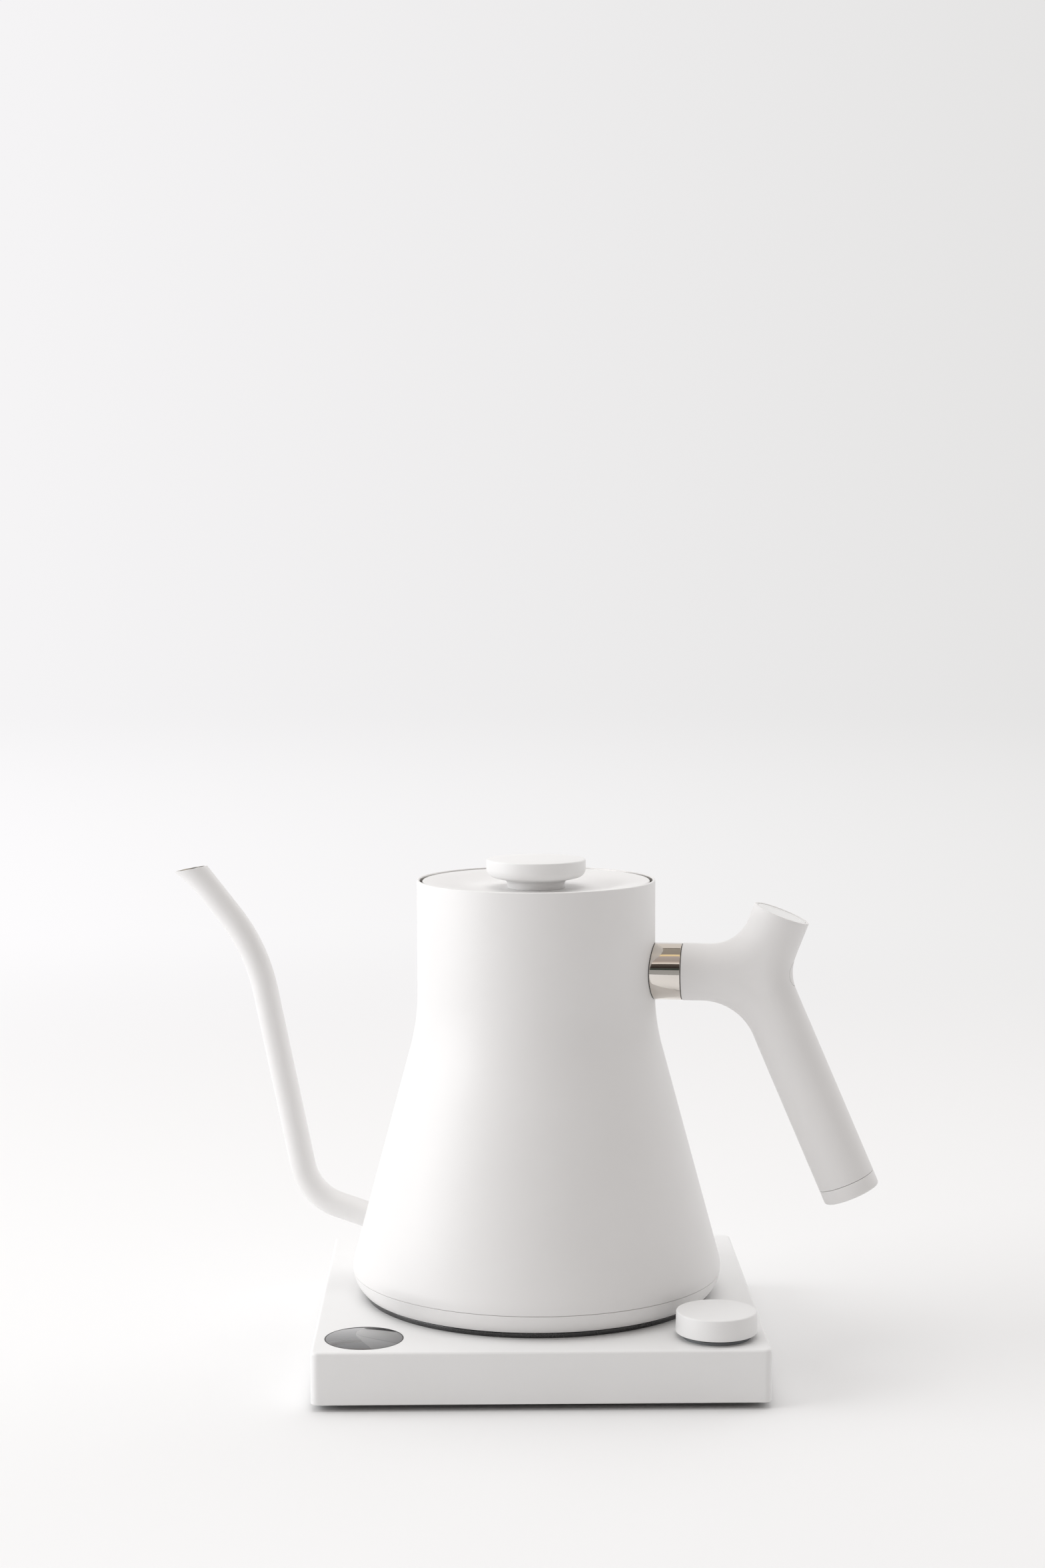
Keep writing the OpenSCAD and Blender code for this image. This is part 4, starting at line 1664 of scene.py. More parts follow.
@dataclass
class Spout(Assembly):
    """The gooseneck spout: a stub, an elbow, a riser, a bend back and a flared tip."""

    body: Body
    radius: float = 5.15
    bore: float = 4.25
    root_s: float = 66.0
    root_z: float = 49.3
    root_deg: float = 72.9
    stub: float = 16.4
    elbow_r: float = 21.4
    riser_deg: float = 11.9
    riser: float = 72.9
    bend_r: float = 71.8
    tip_deg: float = 39.1
    tip_run: float = 13.5
    lip: float = 14.0
    lip_growth: float = 0.066
    lip_steps: int = 10
    lip_edge: float = 0.22
    cut_s: float = 143.1
    cut_z: float = 190.4
    cut_deg: float = 11.1
    reach: float = 20.0
    halvings: int = 40

    @property
    def root(self) -> Matrix:
        """Where the spout starts, with its direction upright."""
        lean = Matrix.Rotation(math.radians(-self.root_deg), 4, "Y")
        return shift(-self.root_s, 0, self.root_z) @ lean

    def land(self, rim: Rim, inset: float) -> None:
        """Slides a loop's points along its axis onto the body's wall.

        Args:
            rim: The loop.
            inset: Depth under the outside.
        """
        ahead = (rim.place.to_3x3() @ UP).normalized()
        for vert in rim.verts:
            near, far = -self.reach, self.reach
            for _ in range(self.halvings):
                mid = (near + far) / 2
                spot = vert.co + ahead * mid
                if spot.xy.length > self.body.wall_r(spot.z, inset):
                    far = mid
                else:
                    near = mid
            vert.co += ahead * near

    def line(self, form: Form, radius: float, inset: float) -> Rim:
        """Draws one wall of the tube up to above the cut.

        Args:
            form: The form.
            radius: Radius of the wall.
            inset: Depth under the body's outside at which it starts.

        Returns:
            The loop at its end.
        """
        rim = Rim(form, self.root, radius, SMALL)
        self.land(rim, inset)
        first = self.stub / 2
        self._level(rim, first)
        rim.step(self.stub - first)
        rim.bend(self.elbow_r, self.root_deg - self.riser_deg, 28)
        rim.step(self.riser)
        rim.bend(self.bend_r, self.riser_deg - self.tip_deg, 20)
        rim.step(self.tip_run)
        for i in range(self.lip_steps):
            share = 2 * (i + 0.5) / self.lip_steps
            self._flare(rim, self.lip / self.lip_steps, self.lip_growth * share)
        return rim

    def _level(self, rim: Rim, ahead: float) -> None:
        """Pulls a landed loop out until it is square to its axis again.

        Args:
            rim: The loop.
            ahead: How far along the axis it ends.
        """
        rim.step(0)
        back = rim.place.inverted()
        for vert in rim.verts:
            spot = back @ vert.co
            vert.co = rim.place @ Vector((spot.x, spot.y, ahead))
        rim.place = rim.place @ shift(z=ahead)

    @staticmethod
    def _flare(rim: Rim, ahead: float, growth: float) -> None:
        """Pulls the loop ahead and widens its lower side.

        Args:
            rim: The loop.
            ahead: How far.
            growth: Growth of the radius for each millimetre.
        """
        wider = growth * ahead
        rim.step(ahead, rim.radius + wider)
        move = rim.place.to_3x3() @ Vector((-wider, 0, 0))
        bmesh.ops.translate(rim.form.bm, vec=move, verts=rim.verts)
        rim.place = Matrix.Translation(move) @ rim.place

    def build(self) -> None:
        """Builds the tube, cut nearly level at the tip."""
        form = Form()
        self.line(form, self.radius, 0.5)
        bore = Form()
        self.line(bore, self.bore, self.body.wall - 0.02)
        bmesh.ops.reverse_faces(bore.bm, faces=bore.bm.faces[:])
        holder = bpy.data.meshes.new("bore")
        bore.bm.to_mesh(holder)
        bore.bm.free()
        form.bm.from_mesh(holder)
        bpy.data.meshes.remove(holder)
        slope = Matrix.Rotation(math.radians(-self.cut_deg), 4, "Y").to_3x3() @ UP
        level = Vector((-self.cut_s, 0, self.cut_z))
        bmesh.ops.bisect_plane(
            form.bm,
            geom=[*form.bm.verts, *form.bm.edges, *form.bm.faces],
            dist=1e-4,
            plane_co=level,
            plane_no=slope,
            clear_outer=True,
        )
        open_edges = [e for e in form.bm.edges if e.is_boundary]
        for at_tip in (True, False):
            loops = [e for e in open_edges if (e.verts[0].co.z > self.cut_z - self.reach) == at_tip]
            bmesh.ops.bridge_loops(form.bm, edges=loops)
        bmesh.ops.recalc_face_normals(form.bm, faces=form.bm.faces[:])
        form.bm.normal_update()
        lip = [
            e
            for e in form.bm.edges
            if all(abs((v.co - level).dot(slope)) < 1e-3 for v in e.verts)
            and sum(f.normal.dot(slope) > 0.9 for f in e.link_faces) == 1
        ]
        form.soften(lip, self.lip_edge, 3)
        self.settle(
            as_object(form, "spout"),
            [ENAMEL, BRUSHED],
            "kettle",
            "white_enamel",
            ["spout_tube"],
            inner=self._is_bore,
            turn=self.body.swivel,
        )

    def _is_bore(self, place: Vector, normal: Vector) -> bool:
        """Whether a face of the tube looks at the tube's own middle line.

        Args:
            place: Middle of the face.
            normal: Its normal.

        Returns:
            True for the bore.
        """
        best = min(self._middle_line, key=lambda spot: (spot - place).length_squared)
        to_middle = best - place
        return normal.dot(to_middle) > 0.6 * to_middle.length and place.z < self.cut_z + self.radius

    @cached_property
    def _middle_line(self) -> list[Vector]:
        """Points along the tube's middle line."""
        place, spots = self.root, []
        stretches = (
            (self.stub, 0.0),
            (self.elbow_r, self.root_deg - self.riser_deg),
            (self.riser, 0.0),
            (self.bend_r, self.riser_deg - self.tip_deg),
            (self.tip_run + self.lip, 0.0),
        )
        count = 60
        for size, degrees in stretches:
            side = math.copysign(size, degrees)
            for i in range(count + 1):
                share = i / count
                if degrees:
                    here = self._turned(place, side, degrees * share)
                else:
                    here = place @ shift(z=size * share)
                spots.append(here.translation)
            place = here
        return spots

    @staticmethod
    def _turned(place: Matrix, side: float, degrees: float) -> Matrix:
        """A place carried round a bend.

        Args:
            place: Where the bend starts.
            side: Signed radius of the bend.
            degrees: How far it turns.

        Returns:
            The place at its end.
        """
        turn = Matrix.Rotation(math.radians(degrees), 4, "Y")
        return place @ shift(side) @ turn @ shift(-side)


@dataclass
class Handle(Assembly):
    """The forked handle, its ferrule, thumb disc and end cap."""

    body: Body
    radius: float = 11.35
    z: float = 152.75
    fork_s: float = 88.45
    ferrule_s: float = 58.8
    thumb_deg: float = 21.0
    thumb_l: float = 25.7
    grip_deg: float = 23.3
    grip_l: float = 94.5
    cap_l: float = 5.8
    seam: float = 0.15
    disc_r: float = 9.95
    voxel: float = 0.62
    plug_r: float = 4.75

    @property
    def fork(self) -> Vector:
        """Where the three limbs meet."""
        return Vector((self.fork_s, 0, self.z))

    @property
    def thumb(self) -> Matrix:
        """The fork's place with the thumb rest upright."""
        lean = math.radians(self.thumb_deg)
        return facing(self.fork, Vector((math.sin(lean), 0, math.cos(lean))))

    @property
    def grip(self) -> Matrix:
        """The fork's place with the grip upright."""
        lean = math.radians(self.grip_deg)
        return facing(self.fork, Vector((math.sin(lean), 0, -math.cos(lean))))

    @property
    def stub(self) -> Matrix:
        """The fork's place with the stub upright."""
        return facing(self.fork, Vector((-1, 0, 0)))

    def build(self) -> None:
        """Builds the handle's pieces."""
        self.main()
        self.ferrule()
        self.gaskets()
        self.disc()
        self.end_cap()
        for node in ("handle_stud", "handle_bolt", "counterweight", "end_cap_screw"):
            self.dress(node)

    def fork_bend(self, form: Form, first: float, last: float, fillet: float) -> None:
        """Adds a bent rod that rounds the inner corner between two limbs.

        Args:
            form: The form.
            first: Direction of one limb, in degrees from outwards to up.
            last: Direction of the other.
            fillet: Radius of the rounded corner.
        """
        half = math.radians(last - first) / 2
        mean = math.radians(first) + half
        radius = fillet + self.radius
        centre = self.fork + Vector((math.cos(mean), 0, math.sin(mean))) * (radius / math.sin(half))
        sweep = math.pi - 2 * half
        start = mean + math.pi - sweep / 2
        arm = Vector((math.cos(start), 0, math.sin(start)))
        place = facing(centre + arm * radius, Vector((-arm.z, 0, arm.x)))
        rim = Rim(form, place, self.radius - 0.05, 96)
        first_edges = list(rim.edges)
        last_geom = bmesh.ops.spin(
            form.bm,
            geom=[*rim.verts, *rim.edges],
            cent=centre,
            axis=(0, -1, 0),
            angle=sweep,
            steps=24,
        )["geom_last"]
        form.close(first_edges)
        form.close([g for g in last_geom if isinstance(g, bmesh.types.BMEdge)])

    def main(self) -> None:
        """The Y-shaped body: the limbs are fused, smoothed and given true ends."""
        rough = Form()
        stub_l = self.fork_s - self.ferrule_s
        grip_end = self.grip_l - self.cap_l - self.seam
        for place, length in (
            (self.stub, stub_l), (self.thumb, self.thumb_l), (self.grip, grip_end)
        ):
            rough.rod(place @ shift(z=-1.5), self.radius, length + 5)
        self.fork_bend(rough, 180, 270 + self.grip_deg, 22)
        self.fork_bend(rough, 90 - self.thumb_deg, 180, 16)
        self.fork_bend(rough, self.grip_deg - 90, 90 - self.thumb_deg, 18)
        thing = as_object(rough, "handle")
        fuse = thing.modifiers.new("fuse", "REMESH")
        fuse.mode, fuse.voxel_size, fuse.use_smooth_shade = "VOXEL", self.voxel, True
        apply_modifiers(thing)
        form = Form()
        form.bm.from_mesh(thing.data)
        old = thing.data
        bpy.data.objects.remove(thing)
        bpy.data.meshes.remove(old)
        for _ in range(14):
            bmesh.ops.smooth_vert(
                form.bm,
                verts=form.bm.verts[:],
                factor=0.5,
                use_axis_x=True,
                use_axis_y=True,
                use_axis_z=True,
            )
        for place, clear in ((self.stub, 21.9), (self.thumb, 18.8), (self.grip, 21.9)):
            self._true_up(form, place, clear)
        self._end(form, self.stub, stub_l, 3.0, 0.3, 0.0)
        self._end(form, self.thumb, self.thumb_l, 3.0, 0.35, 1.0)
        self._end(form, self.grip, grip_end, 6.0, 0.22, 0.0)
        thing = as_object(form, "handle")
        groove = Form().turn(
            [
                Corner(self.plug_r - 0.1, 12.2),
                Corner(self.plug_r + 0.12, 12.2),
                Corner(self.plug_r + 0.12, 24),
                Corner(self.plug_r - 0.1, 24),
            ],
            faces=SMALL,
            place=facing(self.fork, Vector((1, 0, 0))),
        )
        cut(thing, [groove])
        self.settle(
            thing, [GRIP], "kettle", "white_handle", ["handle_body"], turn=self.body.swivel
        )

    def _true_up(self, form: Form, place: Matrix, clear: float) -> None:
        """Brings the straight part of a limb back to its exact radius.

        Args:
            form: The form.
            place: The limb's place.
            clear: Where the limb is free of the fork's roundings.
        """
        back = place.inverted()
        for vert in form.bm.verts:
            spot = back @ vert.co
            along = spot.z - clear
            span = spot.xy.length
            if along <= 0 or span > self.radius + 1.5 or span < self.radius - 2:
                continue
            share = min(1.0, along / 4)
            scale = 1 + (self.radius / span - 1) * share
            vert.co = place @ Vector((spot.x * scale, spot.y * scale, spot.z))

    def _end(
        self, form: Form, place: Matrix, length: float, trim: float, edge: float, pocket: float
    ) -> None:
        """Gives a limb a true round end.

        Args:
            form: The form.
            place: The limb's place.
            length: Length of the limb.
            trim: How far before the end the fused surface stops.
            edge: Radius of the end's edge.
            pocket: Depth of the pocket in the end.
        """
        start = length - trim
        ahead = place.to_3x3() @ UP
        point = place @ Vector((0, 0, start))
        bmesh.ops.bisect_plane(
            form.bm,
            geom=[*form.bm.verts, *form.bm.edges, *form.bm.faces],
            dist=1e-3,
            plane_co=point,
            plane_no=ahead,
            clear_outer=True,
        )
        edges = [
            e for e in form.bm.edges if e.is_boundary and abs(
                (e.verts[0].co - point).dot(ahead)
            ) < 0.01
        ]
        rim = Rim(form, place @ shift(z=start), self.radius, edges=edges)
        back = rim.place.inverted()
        for vert in rim.verts:
            spot = back @ vert.co
            scale = self.radius / spot.xy.length
            vert.co = rim.place @ Vector((spot.x * scale, spot.y * scale, 0))
        rim.step(trim - edge).roll(edge)
        if pocket:
            rim.step(0, self.disc_r + 0.35)
            start_r = rim.radius
            rim.step(-0.08, start_r - 0.18).step(-0.17, start_r - 0.25)
            rim.step(0.25 - pocket)
        else:
            rim.step(0, self.radius - 1.4)
        rim.fill()

    def saddle(self, rim: Rim, gap: float) -> None:
        """Moves a loop's points onto the neck.

        Args:
            rim: The loop.
            gap: Distance that it keeps from the neck.
        """
        for vert in rim.verts:
            vert.co.x = math.sqrt(self.body.neck_r**2 - vert.co.y**2) + gap

    def ferrule(self) -> None:
        """The polished ferrule between neck and handle."""
        outer, inner = self.radius - 0.1, self.radius - 1.3
        near, far = 0.32, self.ferrule_s - 0.3
        ahead = facing(Vector((0, 0, self.z)), Vector((1, 0, 0)))
        form = Form()
        ends = []
        for radius, inset in ((outer, 0.0), (inner, 0.0)):
            rim = Rim(form, ahead, radius, 128)
            self.saddle(rim, near)
            ends.append(list(rim.edges))
            rim.step(0)
            for vert in rim.verts:
                vert.co.x = far
            rim.place = facing(Vector((far, 0, self.z)), Vector((1, 0, 0)))
            ends.append(list(rim.edges))
        bmesh.ops.bridge_loops(form.bm, edges=[*ends[0], *ends[2]])
        bmesh.ops.bridge_loops(form.bm, edges=[*ends[1], *ends[3]])
        bmesh.ops.recalc_face_normals(form.bm, faces=form.bm.faces[:])
        form.soften([*ends[0], *ends[1]], 0.2, 3)
        self.settle(
            as_object(form, "ferrule"), [POLISHED], "kettle", "polished_steel", ["handle_ferrule"],
            turn=self.body.swivel,
        )

    def gaskets(self) -> None:
        """Thin dark rings at both ends of the ferrule: painted shade that fills the gaps there."""
        form = Form()
        outer, inner = self.radius - 0.28, self.radius - 1.2
        ahead = facing(Vector((0, 0, self.z)), Vector((1, 0, 0)))
        walls = []
        for radius in (outer, inner):
            rim = Rim(form, ahead, radius, 96)
            self.saddle(rim, -0.15)
            walls.append(list(rim.edges))
            rim.step(0)
            self.saddle(rim, 0.5)
            walls.append(list(rim.edges))
        bmesh.ops.bridge_loops(form.bm, edges=[*walls[0], *walls[2]])
        bmesh.ops.bridge_loops(form.bm, edges=[*walls[1], *walls[3]])
        form.turn(
            [
                Corner(inner, self.ferrule_s - 0.6),
                Corner(outer, self.ferrule_s - 0.6),
                Corner(outer, self.ferrule_s + 0.1),
                Corner(inner, self.ferrule_s + 0.1),
            ],
            faces=96,
            place=ahead,
        )
        # These rings are painted shade: dark pieces set in the gaps where only shadow falls.
        self.settle(
            as_object(form, "ferrule_gap_shade"),
            [GAP_SHADE],
            "kettle",
            "black_plastic",
            turn=self.body.swivel,
        )

    def disc(self) -> None:
        """The smooth disc set in the thumb rest."""
        top = self.thumb_l - 0.15
        form = Form().turn(
            [
                Corner(0, top - 0.8),
                Corner(self.disc_r, top - 0.8),
                Corner(self.disc_r, top, 0.2, 3),
                Corner(self.disc_r - 2.2, top, 0.3, 3),
                Corner(self.disc_r - 2.5, top - 0.12, 0.3, 3),
                Corner(0, top - 0.12),
            ],
            faces=128,
            place=self.thumb,
        )
        self.settle(
            as_object(form, "thumb_disc"), [DISC], "kettle", "white_handle", ["handle_top_disc"],
            turn=self.body.swivel,
        )

    def end_cap(self) -> None:
        """The cap at the grip's end, with a screw in its middle."""
        start, end = self.grip_l - self.cap_l, self.grip_l
        form = Form().turn(
            [
                Corner(1.7, start),
                Corner(self.radius - 1.0, start),
                Corner(self.radius, start, 0.22, 3),
                Corner(self.radius, end, 1.0, 6),
                Corner(3.3, end, 0.35, 3),
                Corner(3.3, end - 2, 0.2, 2),
                Corner(1.7, end - 2),
            ],
            faces=128,
            place=self.grip,
        )
        self.settle(
            as_object(form, "end_cap"), [GRIP], "kettle", "white_handle", ["handle_end_cap"],
            turn=self.body.swivel,
        )


@dataclass
class Lid(Assembly):
    """The dished lid with its knob, inner plate and spring seals."""

    swivel: float = -10.0
    dish: float = 3.0
    thick: float = 1.0
    skirt: float = 4.0
    knob_r: float = 19.8
    stem_r: float = 11.5

    def build(self) -> None:
        """Builds the lid's pieces."""
        self.disc()
        self.knob()
        self.plate()
        self.seals()
        self.dress("lid_screw")

    def disc(self) -> None:
        """The dished disc with its turned-down edge."""
        top = high("lid_disc").z
        edge = high("lid_seal").x - 0.6
        well, t = top - self.dish, self.thick
        form = Form().turn(
            [
                Corner(3, well),
                Corner(27, well, 46, 8),
                Corner(40.6, top - 0.12, 46, 8),
                Corner(edge, top, 0.45, 4),
                Corner(edge, top - self.skirt, 0.2, 2),
                Corner(edge - t, top - self.skirt, 0.2, 2),
                Corner(edge - t, top - t - 0.05, 0.5, 2),
                Corner(40.6, top - t - 0.2, 45, 6),
                Corner(27, well - t, 45, 6),
                Corner(3, well - t),
            ]
        )
        self.settle(
            as_object(form, "lid_top"),
            [ENAMEL],
            "lid",
            "white_enamel",
            ["lid_disc"],
            turn=self.swivel,
        )

    def knob(self) -> None:
        """The mushroom knob."""
        top = high("lid_knob").z
        foot = low("lid_knob").z
        form = Form().turn(
            [
                Corner(0, top),
                Corner(9, top - 0.05, 160, 6),
                Corner(self.knob_r, top - 0.72, 0.55, 6),
                Corner(self.knob_r, top - 7.2, 3.5, 10),
                Corner(self.stem_r, top - 9.2, 1.6, 8),
                Corner(self.stem_r, foot, 0.15, 2),
                Corner(2.1, foot),
                Corner(2.1, foot + 7),
                Corner(0, foot + 7),
            ]
        )
        self.settle(
            as_object(form, "knob"), [DIAL], "lid", "white_plastic", ["lid_knob"], turn=self.swivel
        )

    def plate(self) -> None:
        """The steel plate under the lid."""
        lowest, highest = low("lid_underplate"), high("lid_underplate")
        outer, bottom, top = highest.x, lowest.z, highest.z
        form = Form().turn(
            [
                Corner(3, bottom),
                Corner(30, bottom, 8, 4),
                Corner(34, bottom + 0.35, 8, 4),
                Corner(outer, bottom + 0.35, 0.7, 4),
                Corner(outer, top - 1, 0.2, 2),
                Corner(outer - 1, top - 1, 0.2, 2),
                Corner(outer - 1, bottom + 1.35, 0.3, 2),
                Corner(9, bottom + 1.35),
                Corner(9, top),
                Corner(3, top),
            ]
        )
        self.settle(
            as_object(form, "lid_plate"), [BRUSHED], "lid", "brushed_steel", ["lid_underplate"],
            turn=self.swivel,
        )

    def seals(self) -> None:
        """Two spring rings that hold the lid in the neck."""
        lowest, highest = low("lid_seal"), high("lid_seal")
        outer, inner, height = highest.x, 43.05, 1.6
        form = Form()
        for bottom in (lowest.z, highest.z - height):
            form.turn(
                [
                    Corner(inner, bottom, 0.15, 2),
                    Corner(outer - 0.5, bottom, 0.3, 3),
                    Corner(outer, bottom + height / 2, 0.5, 4),
                    Corner(outer - 0.5, bottom + height, 0.3, 3),
                    Corner(inner, bottom + height, 0.15, 2),
                ]
            )
        self.settle(
            as_object(form, "lid_springs"), [SPRING], "lid", "dark_spring_steel", ["lid_seal"],
            turn=self.swivel,
        )


# -------------------------------------------------------------------- studio


@dataclass(frozen=True)
class Softbox:
    """A soft light.

    Args:
        name: Its name.
        place: Where it stands, in metres.
        aim: What it points at.
        size: Its width and height.
        power: Its power in watts.
        colour: Its colour.
    """

    name: str
    place: tuple[float, float, float]
    aim: tuple[float, float, float]
    size: tuple[float, float]
    power: float
    colour: tuple[float, float, float] = (1.0, 1.0, 1.0)


@dataclass
class Studio:
    """The pale floor, the lights and the camera."""

    lens: float = 59.6
    sensor: float = 36.0
    camera_at: tuple[float, float, float] = (-0.0207, -1.02716, 0.30604)
    yaw: float = 0.859
    pitch: float = 4.426
    roll: float = -0.125
    floor_r: float = 6.0
    card_r: float = 1.25
    card_turn: float = -10.0
    card_sweep: float = 158.0
    card_steps: int = 79
    card_tilt: float = 6.0
    card_width: float = 2.4
    card_z: float = 0.15
    lowest_band: float = -10.0
    band_span: float = 165.0
    across_gain: float = 2.4
    floor_grey: float = 0.86
    # Painted light on the floor: its far part glows, eased in over fade and made brighter near the
    # middle by lift.
    fade: tuple[float, float] = (0.35, 1.3)
    lift: tuple[float, float] = (1.0, 5.5)
    lift_by: tuple[float, float] = (1.075, 1.0)
    # Backdrop colours: painted shade makes the right one darker than the left.
    left_pale: tuple[float, ...] = (0.925, 0.915, 0.925, 1.0)
    right_pale: tuple[float, ...] = (0.785, 0.778, 0.775, 1.0)
    front_fill: tuple[float, ...] = (0.375, 0.352, 0.338, 1.0)
    back_fill: tuple[float, ...] = (0.82, 0.81, 0.81, 1.0)
    bands: tuple[tuple[float, tuple[float, float, float]], ...] = (
        (-9.0, (0.02, 0.018, 0.018)), (-5.5, (0.02, 0.018, 0.018)), (-4.5, (0.42, 0.42, 0.41)),
        (12.0, (0.4, 0.4, 0.39)), (13.0, (0.03, 0.04, 0.035)), (19.0, (0.09, 0.1, 0.09)),
        (21.0, (0.03, 0.022, 0.018)), (27.0, (0.06, 0.05, 0.045)), (37.0, (0.12, 0.1, 0.09)),
        (39.0, (0.95, 0.88, 0.82)), (42.5, (0.95, 0.88, 0.82)), (44.0, (0.6, 0.52, 0.48)),
        (52.0, (0.45, 0.4, 0.37)), (70.0, (0.52, 0.46, 0.44)), (73.0, (1.0, 0.78, 0.45)),
        (78.0, (1.0, 0.8, 0.48)), (81.0, (0.34, 0.3, 0.26)), (112.0, (0.36, 0.33, 0.29)),
        (115.0, (0.12, 0.1, 0.09)), (117.5, (0.8, 0.75, 0.71)), (152.0, (0.78, 0.74, 0.71)),
    )
    lights: tuple[Softbox, ...] = (
        Softbox("window", (-1.7, -0.22, 0.72), (0, 0, 0.08), (1.6, 1.4), 20.5, (0.975, 0.985, 1.0)),
        Softbox("overhead", (-0.15, 0.1, 1.9), (0, 0, 0), (1.8, 1.6), 12.5),
        Softbox("back", (1.5, 1.3, 1.1), (0, 0, 0.15), (1.4, 1.0), 5.5),
    )

    def build(self) -> None:
        """Sets up the studio."""
        self.camera()
        self.world()
        self.floor()
        self.card()
        for light in self.lights:
            self.lamp(light)
        bpy.context.scene.view_settings.view_transform = "Standard"

    def camera(self) -> None:
        """The camera at the eye's place."""
        data = bpy.data.cameras.new("camera")
        data.lens, data.sensor_width, data.sensor_fit = self.lens, self.sensor, "AUTO"
        eye = bpy.data.objects.new("camera", data)
        bpy.context.scene.collection.objects.link(eye)
        yaw, pitch, roll = (math.radians(a) for a in (self.yaw, self.pitch, self.roll))
        ahead = Vector(
            (math.sin(yaw) * math.cos(pitch), math.cos(yaw) * math.cos(pitch), -math.sin(pitch))
        )
        level = Vector((math.cos(yaw), -math.sin(yaw), 0))
        right = level * math.cos(roll) + level.cross(ahead) * math.sin(roll)
        up = right.cross(ahead)
        turn = Matrix((right, up, -ahead)).transposed().to_4x4()
        eye.matrix_world = Matrix.Translation(self.camera_at) @ turn
        bpy.context.scene.camera = eye

    def world(self) -> None:
        """Pale surroundings, made a little darker to the right by painted shade, that also fill the
        shadows.
        """
        world = bpy.data.worlds.new("studio")
        bpy.context.scene.world = world
        world.use_nodes = True
        sheet = Sheet(world.node_tree)
        back = world.node_tree.nodes["Background"]
        ray = sheet.add("ShaderNodeLightPath")
        seen = self.pale(sheet)
        where = sheet.add("ShaderNodeTexCoord").outputs["Generated"]
        parts = sheet.parts(where)
        behind = sheet.math("MULTIPLY_ADD", parts.outputs[1], 0.7, 0.5, clamp=True)
        around = sheet.mix(behind, self.front_fill, self.back_fill)
        sheet.wire(sheet.mix(ray.outputs["Is Camera Ray"], around, seen), back.inputs["Color"])

    def pale(self, sheet: Sheet) -> bpy.types.NodeSocket:
        """The backdrop's colour, from the direction in which it lies, with painted shade to the
        right.

        Args:
            sheet: The sheet to wire it on.

        Returns:
            The colour.
        """
        where = sheet.add("ShaderNodeTexCoord").outputs["Generated"]
        parts = sheet.parts(where)
        return self._across(sheet, parts.outputs[0])

    def _across(self, sheet: Sheet, side: object) -> bpy.types.NodeSocket:
        """The backdrop's colour for a place to the left or to the right; painted shade makes it
        darker to the right.

        Args:
            sheet: The sheet to wire it on.
            side: How far to the right it lies.

        Returns:
            The colour.
        """
        share = sheet.math("MULTIPLY_ADD", side, self.across_gain, 0.5, clamp=True)
        return sheet.mix(share, self.left_pale, self.right_pale)

    @staticmethod
    def _eased(sheet: Sheet, value: object, given: tuple, wanted: tuple) -> bpy.types.NodeSocket:
        """Eases a value from one range into another.

        Args:
            sheet: The sheet to wire it on.
            value: The value.
            given: The range that it comes from.
            wanted: The range that it goes to.

        Returns:
            The eased value.
        """
        node = sheet.add("ShaderNodeMapRange", interpolation_type="SMOOTHSTEP")
        labels = ("From Min", "From Max", "To Min", "To Max")
        for label, limit in zip(labels, (*given, *wanted)):
            node.inputs[label].default_value = limit
        sheet.wire(value, node.inputs["Value"])
        return node.outputs["Result"]

    @staticmethod
    def _glowing(thing: bpy.types.Object, name: str) -> bpy.types.NodeTree:
        """Gives a thing a material of its own that glows without being sampled as a lamp.

        Args:
            thing: The thing.
            name: The material's name.

        Returns:
            The material's nodes.
        """
        made = bpy.data.materials.new(name)
        made.use_nodes = True
        made.cycles.emission_sampling = "NONE"
        thing.data.materials.append(made)
        return made.node_tree

    def floor(self) -> None:
        """A wide pale floor that fades into a glow of painted light, brighter nearer the middle and
        darker to the right, matching the surroundings.
        """
        form = Form()
        bmesh.ops.create_circle(
            form.bm, cap_ends=True, radius=self.floor_r / MM, segments=96, matrix=Matrix()
        )
        thing = as_object(form, "floor")
        thing.data.transform(Matrix.Scale(MM, 4))
        tree = self._glowing(thing, "floor")
        sheet = Sheet(tree)
        shader = tree.nodes["Principled BSDF"]
        shader.inputs["Base Color"].default_value = (*[self.floor_grey] * 3, 1.0)
        shader.inputs["Roughness"].default_value = 0.7
        shader.inputs["Specular IOR Level"].default_value = 0.1
        where = sheet.add("ShaderNodeTexCoord").outputs["Object"]
        away = sheet.add("ShaderNodeVectorMath", operation="LENGTH")
        sheet.wire(where, away.inputs[0])
        far = away.outputs["Value"]
        # Painted light: the floor glows with the backdrop's colour, its painted shade to the right
        # included.
        glow = sheet.add("ShaderNodeEmission")
        parts = sheet.parts(where)
        side = sheet.math("DIVIDE", parts.outputs[0], sheet.math("ADD", far, 1.0))
        sheet.wire(self._across(sheet, side), glow.inputs["Color"])
        strength = self._eased(sheet, far, self.lift, self.lift_by)
        sheet.wire(strength, glow.inputs["Strength"])
        blend = sheet.add("ShaderNodeMixShader")
        sheet.wire(self._eased(sheet, far, self.fade, (0.0, 1.0)), blend.inputs[0])
        sheet.wire(shader.outputs[0], blend.inputs[1])
        sheet.wire(glow.outputs[0], blend.inputs[2])
        sheet.wire(blend.outputs[0], tree.nodes["Material Output"].inputs["Surface"])

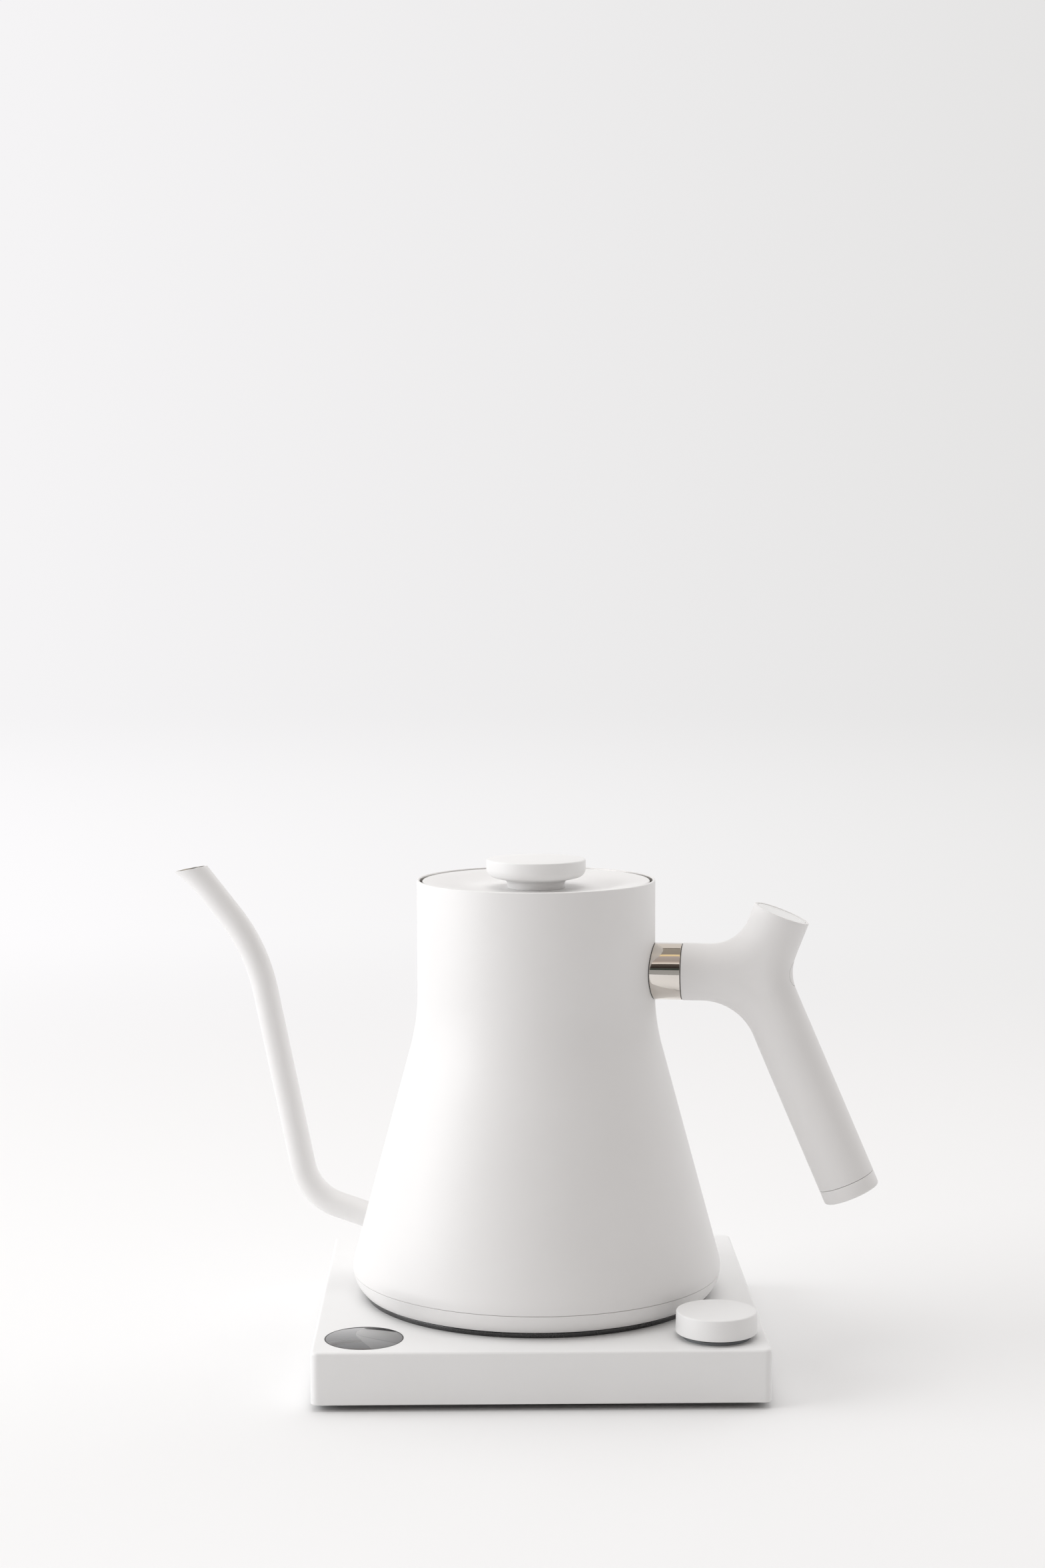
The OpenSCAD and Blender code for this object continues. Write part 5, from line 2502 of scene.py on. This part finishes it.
    def card(self) -> None:
        """A curved card of light and dark bands in front, seen only in glossy surfaces."""
        form = Form()
        start = form.point(None, Vector((0, -self.card_r / MM, 0)))
        bmesh.ops.spin(
            form.bm,
            geom=[start],
            cent=(0, 0, 0),
            axis=(-1, 0, 0),
            angle=math.radians(self.card_sweep),
            steps=self.card_steps,
        )
        bmesh.ops.rotate(
            form.bm,
            cent=(0, 0, 0),
            matrix=Matrix.Rotation(math.radians(self.card_tilt), 3, "X"),
            verts=form.bm.verts[:],
        )
        made = bmesh.ops.extrude_edge_only(form.bm, edges=form.bm.edges[:])["geom"]
        moved = [g for g in made if isinstance(g, bmesh.types.BMVert)]
        width = self.card_width / MM
        bmesh.ops.translate(form.bm, vec=(width, 0, 0), verts=moved)
        bmesh.ops.translate(form.bm, vec=(-width / 2, 0, 0), verts=form.bm.verts[:])
        thing = as_object(form, "reflection_card", fix=False)
        turn = Matrix.Rotation(math.radians(self.card_turn), 4, "Z")
        thing.data.transform(shift(z=self.card_z) @ turn @ Matrix.Scale(MM, 4))
        tree = self._glowing(thing, "reflection card")
        sheet = Sheet(tree)
        where = sheet.add("ShaderNodeTexCoord").outputs["Object"]
        straight = sheet.add("ShaderNodeVectorRotate", rotation_type="Z_AXIS")
        straight.inputs["Angle"].default_value = math.radians(-self.card_turn)
        sheet.wire(where, straight.inputs["Vector"])
        parts = sheet.parts(straight.outputs[0])
        above = sheet.math("SUBTRACT", parts.outputs[2], self.card_z)
        rise = sheet.math("ARCTAN2", above, sheet.math("MULTIPLY", parts.outputs[1], -1.0))
        start_share = -self.lowest_band / self.band_span
        share = sheet.math("MULTIPLY_ADD", rise, 1 / math.radians(self.band_span), start_share)
        ramp = sheet.add("ShaderNodeValToRGB")
        ramp.color_ramp.interpolation = "LINEAR"
        stops = ramp.color_ramp.elements
        stops.remove(stops[1])
        stops[0].position, stops[0].color = 0.0, (*self.bands[0][1], 1.0)
        for angle, colour in self.bands[1:]:
            stops.new((angle - self.lowest_band) / self.band_span).color = (*colour, 1.0)
        glow = sheet.add("ShaderNodeEmission")
        sheet.wire(share, ramp.inputs[0])
        sheet.wire(ramp.outputs[0], glow.inputs["Color"])
        sheet.wire(glow.outputs[0], tree.nodes["Material Output"].inputs["Surface"])
        thing.visible_camera = thing.visible_diffuse = thing.visible_shadow = False
        thing.visible_transmission = thing.visible_volume_scatter = False

    @staticmethod
    def lamp(light: Softbox) -> None:
        """Adds a softbox.

        Args:
            light: What it is.
        """
        data = bpy.data.lights.new(light.name, "AREA")
        data.shape, data.size, data.size_y = "RECTANGLE", *light.size
        data.energy, data.color = light.power, light.colour
        lamp = bpy.data.objects.new(light.name, data)
        lamp.visible_camera = False
        bpy.context.scene.collection.objects.link(lamp)
        place, aim = Vector(light.place), Vector(light.aim)
        turn = (aim - place).to_track_quat("-Z", "Y").to_matrix().to_4x4()
        lamp.matrix_world = Matrix.Translation(place) @ turn


def main() -> None:
    """Builds the kettle, its base and the studio."""
    logging.basicConfig(level=logging.INFO, format="%(name)s %(message)s")
    paint = Paintbox()
    body = Body(paint)
    for assembly in (
        HeatingBase(paint),
        RearControls(paint),
        Dial(paint),
        Coupler(paint),
        body,
        Spout(paint, body),
        Handle(paint, body),
        Lid(paint, body.swivel),
    ):
        assembly.build()
        LOG.info("%s built", type(assembly).__name__)
    Studio().build()


if __name__ == "__main__":
    main()
